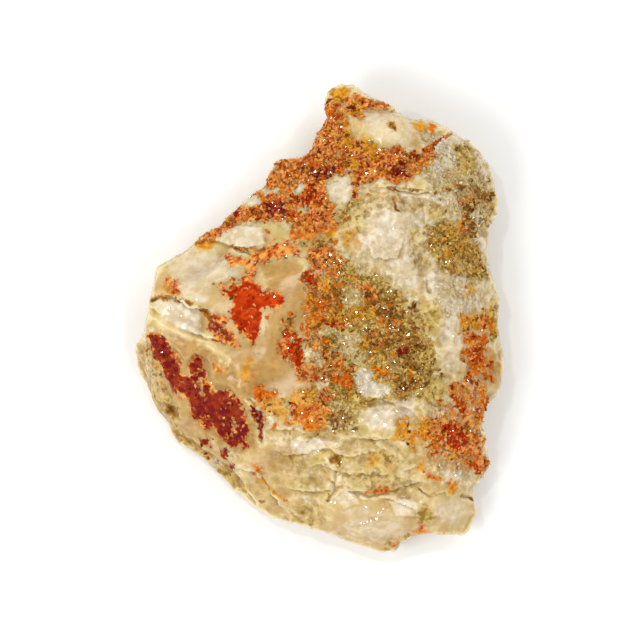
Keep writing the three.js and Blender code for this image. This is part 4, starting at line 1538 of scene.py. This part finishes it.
def random_turns(count):
    """Turns spread evenly over all directions, as 3 by 3 matrices."""
    quaternion = chance.normal(size=(count, 4))
    quaternion /= np.linalg.norm(quaternion, axis=1)[:, None]
    w, x, y, z = quaternion.T
    return np.stack([
        np.stack([1 - 2 * (y * y + z * z), 2 * (x * y - w * z), 2 * (x * z + w * y)], axis=1),
        np.stack([2 * (x * y + w * z), 1 - 2 * (x * x + z * z), 2 * (y * z - w * x)], axis=1),
        np.stack([2 * (x * z - w * y), 2 * (y * z + w * x), 1 - 2 * (x * x + y * y)], axis=1),
    ], axis=1)


def turned_cubes(centres, sizes):
    """The corners and the faces of one skewed cube for each centre."""
    count = len(centres)
    stretch = chance.uniform(*CRYSTAL_STRETCH, (count, 1, 3))
    skew = np.eye(3) + CRYSTAL_SKEW * (1 - np.eye(3))
    shapes = (CUBE @ skew)[None] * stretch * sizes[:, None, None]
    corners = np.einsum("nij,nkj->nki", random_turns(count), shapes) + centres[:, None, :]
    faces = CUBE_FACES[None] + (np.arange(count) * len(CUBE))[:, None, None]
    return corners.reshape(-1, 3), faces.reshape(-1, 4)


print("a cube has", len(CUBE), "corners and", len(CUBE_FACES), "faces")

# %% [markdown]
# The crystals are set out on a grid whose points are each pushed a random way, which leaves no
# rows and no bare spots. A ray sent down on the stone finds the height of each. Steep walls and
# places off the stone get none.

# %% Places for crystals
OUTSIDE_REACH = 0.3
STEEPEST = 0.25


def scattered_places(corners, spacing):
    """Places on a jittered grid over a footprint, with the stone's surface height under each."""
    low = corners.min(axis=0)
    high = corners.max(axis=0)
    columns, rows = np.meshgrid(*[np.arange(low[axis], high[axis], spacing) for axis in range(2)])
    flat = np.column_stack([columns.ravel(), rows.ravel()])
    flat = flat + chance.uniform(-0.5, 0.5, flat.shape) * spacing
    found = []
    for x, y in flat[inside_distance(flat, corners) > -OUTSIDE_REACH]:
        place, normal = stone_under(x, y)
        if place is not None and normal.z > STEEPEST:
            found.append(tuple(place))
    return np.array(found).reshape(-1, 3)


print("steepest place:", round(math.degrees(math.acos(STEEPEST))), "degrees")

# %% [markdown]
# Under its crystals a crust has a thin skin: the stone's own faces where the stain is dense, lifted
# a little off the stone, and sunk into it at the edge of the crust so that no rim shows.

# %% Skin of a crust
RAGGED_SHARE = 0.5
COVER_SALT = 200
SKIN_FROM = 0.4
SKIN_FULL = 0.6
SKIN_RISE = 0.07
SKIN_SUNK = -0.03
CLUSTER_LAYERS = ((0.6, 0.95, 0), (0.4, 0.45, 1))


def cluster_noise(places, salt):
    """Clusters of crystals about a millimetre wide, from -1 to 1."""
    return sum(amount * lumps(places, size, salt + step) for amount, size, step in CLUSTER_LAYERS)


stone_cover = np.max([stone_amounts[stain] for stain in HARD_STAINS], axis=0)
stone_cover = stone_cover + 0.5 * RAGGED_SHARE * cluster_noise(stone_places, COVER_SALT)
stone_cover = np.where(stone_normals[:, 2] > 0, stone_cover, 0)
face_middles = stone_places[stone_faces].mean(axis=1)[:, :2]
covered_faces = stone_cover[stone_faces].max(axis=1) > SKIN_FROM


def skin_parts(corners):
    """The points and faces of one crust's skin, and the points of the stone that they come from."""
    kept = stone_faces[(inside_distance(face_middles, corners) > 0) & covered_faces]
    used, renumbered = np.unique(kept, return_inverse=True)
    lift = SKIN_SUNK + (SKIN_RISE - SKIN_SUNK) * soft_step(SKIN_FROM, SKIN_FULL, stone_cover[used])
    points = stone_places[used] + stone_normals[used] * lift[:, None]
    return points, renumbered.reshape(-1, 3), used


print("faces under crusts:", int(covered_faces.sum()))

# %% [markdown]
# A crust's mesh is its skin and its crystals together. The skin takes its stains from the stone,
# and all eight corners of a crystal have the same stains and tints, so it is of one kind all over.

# %% Mesh of a crust
TINT_CLUSTERS = (0.8, 47)
TINT_CLUSTER_SHARE = 0.45


def crystal_mesh(name, skin, centres, sizes, amounts):
    """One mesh of a skin and its crystals, with the stains and the tints of both."""
    points, skin_faces, used = skin
    count = len(centres)
    corners, faces = turned_cubes(centres, sizes)
    all_faces = skin_faces.tolist() + (faces + len(points)).tolist()
    mesh = bpy.data.meshes.new(name)
    mesh.from_pydata((np.vstack([points, corners]) * MM).tolist(), [], all_faces)
    mesh.update()
    mesh.polygons.foreach_set("use_smooth", np.arange(len(all_faces)) < len(skin_faces))

    def both(on_skin, on_crystals):
        return np.concatenate([on_skin[used], np.repeat(on_crystals, len(CUBE))])

    for group, stains in STAIN_GROUPS.items():
        store_colours(mesh, group, [both(stone_amounts[stain], amounts[stain]) for stain in stains])
    store_colours(mesh, "crevice", [both(part, np.zeros(count)) for part in stone_crevices])
    cluster = 0.5 + 0.5 * lumps(centres, *TINT_CLUSTERS)
    tone = TINT_CLUSTER_SHARE * cluster + (1 - TINT_CLUSTER_SHARE) * chance.uniform(0, 1, count)
    tints = (tone, tone, chance.uniform(0, 1, count))
    store_colours(mesh, "grain_tint", [both(own, tint) for own, tint in zip(stone_tints, tints)])
    return mesh


print("attributes of a crust:", [*STAIN_GROUPS, "crevice", "grain_tint"])

# %% [markdown]
# Which crystals belong to which crust is drawn as a rough area round each crust. The number after
# its name is the share of its places that hold a crystal: the smooth red cross and the maroon band
# have few. In every crust some clusters are of another mineral.

# %% Crust areas
CRUSTS = patches("""
    upper 0.9 196,244 268,184 280,164 316,150 328,100 392,106 394,114 360,116 352,145 430,146 432,164
        410,184 352,204 342,224 310,232 240,230
    cross 0.1 206,310 222,252 300,240 303,258 262,268 262,284 292,292 290,312 266,320 264,350 240,352
        212,344
    hollow 0.8 276,322 302,300 298,272 306,246 330,240 348,262 384,280 410,304 430,336 440,372 430,392
        400,398 372,384 326,406 300,388 276,352
    left_band 0.1 146,328 168,338 184,360 208,352 214,386 232,384 246,404 266,412 266,444 250,452 234,478
        198,450 164,396 150,360
    lower 0.35 248,384 280,384 300,396 330,400 332,434 268,430
    right_shoulder 0.75 426,228 456,210 466,184 496,186 496,214 488,236 476,246 490,272 478,284 430,262
    right_edge 0.6 456,312 478,304 496,312 498,336 488,346 490,380 466,380
    lower_right 0.55 396,416 436,412 444,380 462,378 470,400 480,380 488,400 482,424 484,450 492,462
        484,480 440,456 400,444
""")
CRUST_SLOTS = {"hollow": "olive_druse", "right_shoulder": "olive_druse", "left_band": "maroon_crust"}
STRANGERS = {
    "rust_druse": {"orange": 0.16, "maroon": 0.05, "gold": 0.06, "pink": 0.04, "brown": 0.03},
    "olive_druse": {"gold": 0.07, "orange": 0.03, "pink": 0.1, "brown": 0.14},
    "maroon_crust": {"rust": 0.2, "orange": 0.04},
}
print("crusts:", list(CRUSTS))

# %% [markdown]
# The crystals grow where the stain under them is dense enough. Each takes the stains of its place
# wholly or not at all, and one that took none gets the densest. Here and there a second layer sits
# a little higher.

# %% Grow the crusts
CRYSTAL_SPACING = 0.25
CRYSTAL_SPREAD = (0.17, 0.4)
RISE = 0.06
RISE_RANGE = (-0.6, 1)
SECOND_LAYER = 0.13
LAYER_PATCHES = (1.6, 43)
LAYER_LEVEL = 0.1
LAYER_SKIPPED = 0.45
STAIN_SALT = 210
STRANGER_SALT = 300
SALT_STEP = 10


def settled_stains(places, amounts, least):
    """1 for each stain that a crystal takes and 0 for the others."""
    settled = {}
    for number, (stain, amount) in enumerate(amounts.items()):
        ragged = RAGGED_SHARE * cluster_noise(places, STAIN_SALT + SALT_STEP * number)
        settled[stain] = (amount + ragged > least).astype(float)
    return settled


def with_strangers(settled, places, shares):
    """Turns some clusters of crystals into other minerals, as no patch is of one colour."""
    for number, (stain, share) in enumerate(shares.items()):
        noise = cluster_noise(places, STRANGER_SALT + SALT_STEP * number)
        chosen = noise > np.quantile(noise, 1 - share)
        for other in settled:
            settled[other] = np.where(chosen, float(other == stain), settled[other])
    return settled


def grown_crystals(corners, crystal_share, shares):
    """Centres, sizes and stains of the crystals of one crust, in two layers."""
    places = scattered_places(corners, CRYSTAL_SPACING)
    amounts = stain_table(places)
    strongest = np.max([amounts[stain] for stain in HARD_STAINS], axis=0)
    kept = strongest + RAGGED_SHARE * cluster_noise(places, COVER_SALT) > 0.5
    kept &= chance.uniform(0, 1, len(places)) < crystal_share
    places = places[kept]
    amounts = {stain: amount[kept] for stain, amount in amounts.items()}
    settled = settled_stains(places, amounts, 0.5)
    bare = np.max([settled[stain] for stain in HARD_STAINS], axis=0) == 0
    densest = np.argmax([amounts[stain] for stain in HARD_STAINS], axis=0)
    for number, stain in enumerate(HARD_STAINS):
        settled[stain] = np.where(bare & (densest == number), 1.0, settled[stain])
    settled = with_strangers(settled, places, shares)
    lifted = lumps(places, *LAYER_PATCHES) > LAYER_LEVEL
    lifted &= chance.uniform(0, 1, len(places)) > LAYER_SKIPPED
    places[:, 2] += RISE * chance.uniform(*RISE_RANGE, len(places)) + SECOND_LAYER * lifted
    sizes = chance.uniform(*CRYSTAL_SPREAD, len(places))
    return places, sizes, settled


print("crystals of", CRYSTAL_SPREAD[0], "to", CRYSTAL_SPREAD[1], "mm")

# %% [markdown]
# Every crust becomes one piece with its own name. It takes the place of the solid crust that it
# was drawn for, and all crusts share one material.

# %% Build the crusts
druse = mineral_material("jarosite_crystals", 0.26, 0.2, True)
grown_centres = []
for place, (crystal_share, corners) in CRUSTS.items():
    slot = CRUST_SLOTS.get(place, "rust_druse")
    name = "druse_" + place
    centres, sizes, settled = grown_crystals(corners, crystal_share, STRANGERS[slot])
    piece = linked(name, crystal_mesh(name, skin_parts(corners), centres, sizes, settled), druse)
    grown_centres += centres.tolist()
    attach(piece, "root")
    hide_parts("jarosite_crust_" + place)
    print(name, len(centres), "crystals")

# %% [markdown]
# Parts of the quartz are sugary: grains of up to half a millimetre stand out of it, clean or
# stained. They are made as the crystals are, with no skin, because the stone shows between them.

# %% Sugary quartz
SUGARY = {"under_hollow": 1.1, "upper_right": 1.0, "hollow": 0.9, "right": 0.6, "lower_right": 0.5}
SUGAR_SPREAD = (0.18, 0.42)
SUGAR_SPACING = 0.36
SUGAR_SUNK = 0.12
SUGAR_SALT = 400
SUGAR_CLUSTERS = 0.35
SUGAR_CHANCE = (0.4, 1.3)
SUGAR_STAIN = 0.55
WHOLE_TOP = "136,84 505,84 505,556 136,556"
NO_SKIN = (np.zeros((0, 3)), np.zeros((0, 3), dtype=int), np.zeros(0, dtype=int))

places = scattered_places(on_stone(numbers(WHOLE_TOP)), SUGAR_SPACING)
grainy = area_share(places, SUGARY, GRAINY_EDGE) + SUGAR_CLUSTERS * cluster_noise(places, SUGAR_SALT)
places = places[grainy > chance.uniform(*SUGAR_CHANCE, len(places))]
places[:, 2] -= chance.uniform(0, SUGAR_SUNK, len(places))
amounts = stain_table(places)
settled = settled_stains(places, amounts, SUGAR_STAIN)
settled.update({stain: amounts[stain] for stain in SOFT_STAINS})
sizes = chance.uniform(*SUGAR_SPREAD, len(places))
sugar_mesh = crystal_mesh("quartz_sugar", NO_SKIN, places, sizes, settled)
sugar = linked("quartz_sugar", sugar_mesh, mineral_material("sugary_quartz", 0.28, 0.15, True))
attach(sugar, "root")
print("sugar grains:", len(places))

# %% [markdown]
# Some crystal faces happen to be turned so that they throw the small lamp straight into the lens.
# Those are the white sparks in the photograph. Chance alone would put them elsewhere, so each gets
# a small glassy face with just that tilt, and some more are strewn over the crusts.

# %% Glinting faces
GLINTS = """
    331,119 315,173 322,166 305,165 276,207 273,203 279,211 277,248 285,246 287,257 369,142
    404,182 366,175 379,151 404,158 352,157 341,128 300,206 290,176 326,200 275,297 363,319
    383,308 407,335 378,330 473,218 479,226 465,228 467,174 343,417 353,430 333,430 341,461
    424,472 455,475 360,391 387,367 328,403 465,322 452,430 468,440 446,422 340,262 330,256
    318,252 346,300 356,312 370,352 394,362 412,356 420,338 386,340 430,246 448,262 302,412
    312,420 226,408 212,382 163,352 198,300 170,308 182,316 392,230 380,236 396,410 376,414
    452,336 478,352 472,396 484,466
"""
BRIGHT_LEDGES = """
    361,522 364,523 367,521 371,520 376,518 378,512 381,511 383,508 387,509 366,506 331,501
    335,502 352,496 404,503 318,450 296,444 384,424
"""
GLINT_SIDES = (0.06, 0.2)
LEDGE_GLINT = 1.3
STRAY_GLINT = 0.7
STRAY_GLINTS = 160
GLINT_RISE = 0.2
GLINT_STRETCH = (0.6, 1.4)
TO_LENS = Vector((0, 0, 1))


def facet_towards_lens(place, side):
    """The corners of a small face whose tilt is half way between the lens and the lamp."""
    to_lamp = (GLINT_LAMP.location / MM - place).normalized()
    half_way = (to_lamp + TO_LENS).normalized()
    across = half_way.orthogonal().normalized()
    up = half_way.cross(across)
    turn = chance.uniform(0, math.pi)
    long_way = across * math.cos(turn) + up * math.sin(turn)
    short_way = up * math.cos(turn) - across * math.sin(turn)
    long_side = side * chance.uniform(*GLINT_STRETCH)
    return [place + long_way * a * long_side / 2 + short_way * b * side / 2 for a, b in SQUARE]


def glint_mesh():
    """All the glinting faces, first the drawn ones and then those strewn over the crusts."""
    low, high = GLINT_SIDES
    wanted = [(place, chance.uniform(low, high)) for place in on_stone(numbers(GLINTS))]
    wanted += [(place, chance.uniform(low, high) * LEDGE_GLINT)
               for place in on_stone(numbers(BRIGHT_LEDGES))]
    chosen = chance.choice(len(grown_centres), STRAY_GLINTS, replace=False)
    wanted += [(grown_centres[i][:2], chance.uniform(low, high) * STRAY_GLINT) for i in chosen]
    points = []
    for (x, y), side in wanted:
        place, _ = stone_under(x, y)
        if place is not None:
            points += facet_towards_lens(place + Vector((0, 0, GLINT_RISE)), side)
    mesh = bpy.data.meshes.new("crystal_glints")
    faces = np.arange(len(points)).reshape(-1, len(SQUARE)).tolist()
    mesh.from_pydata([tuple(point * MM) for point in points], [], faces)
    mesh.update()
    return mesh


glassy = plain_material("glassy_face", linear(226, 196, 150), Roughness=0.12, IOR=1.8)
glints = linked("crystal_glints", glint_mesh(), glassy)
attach(glints, "root")
print("glints:", len(glints.data.polygons))
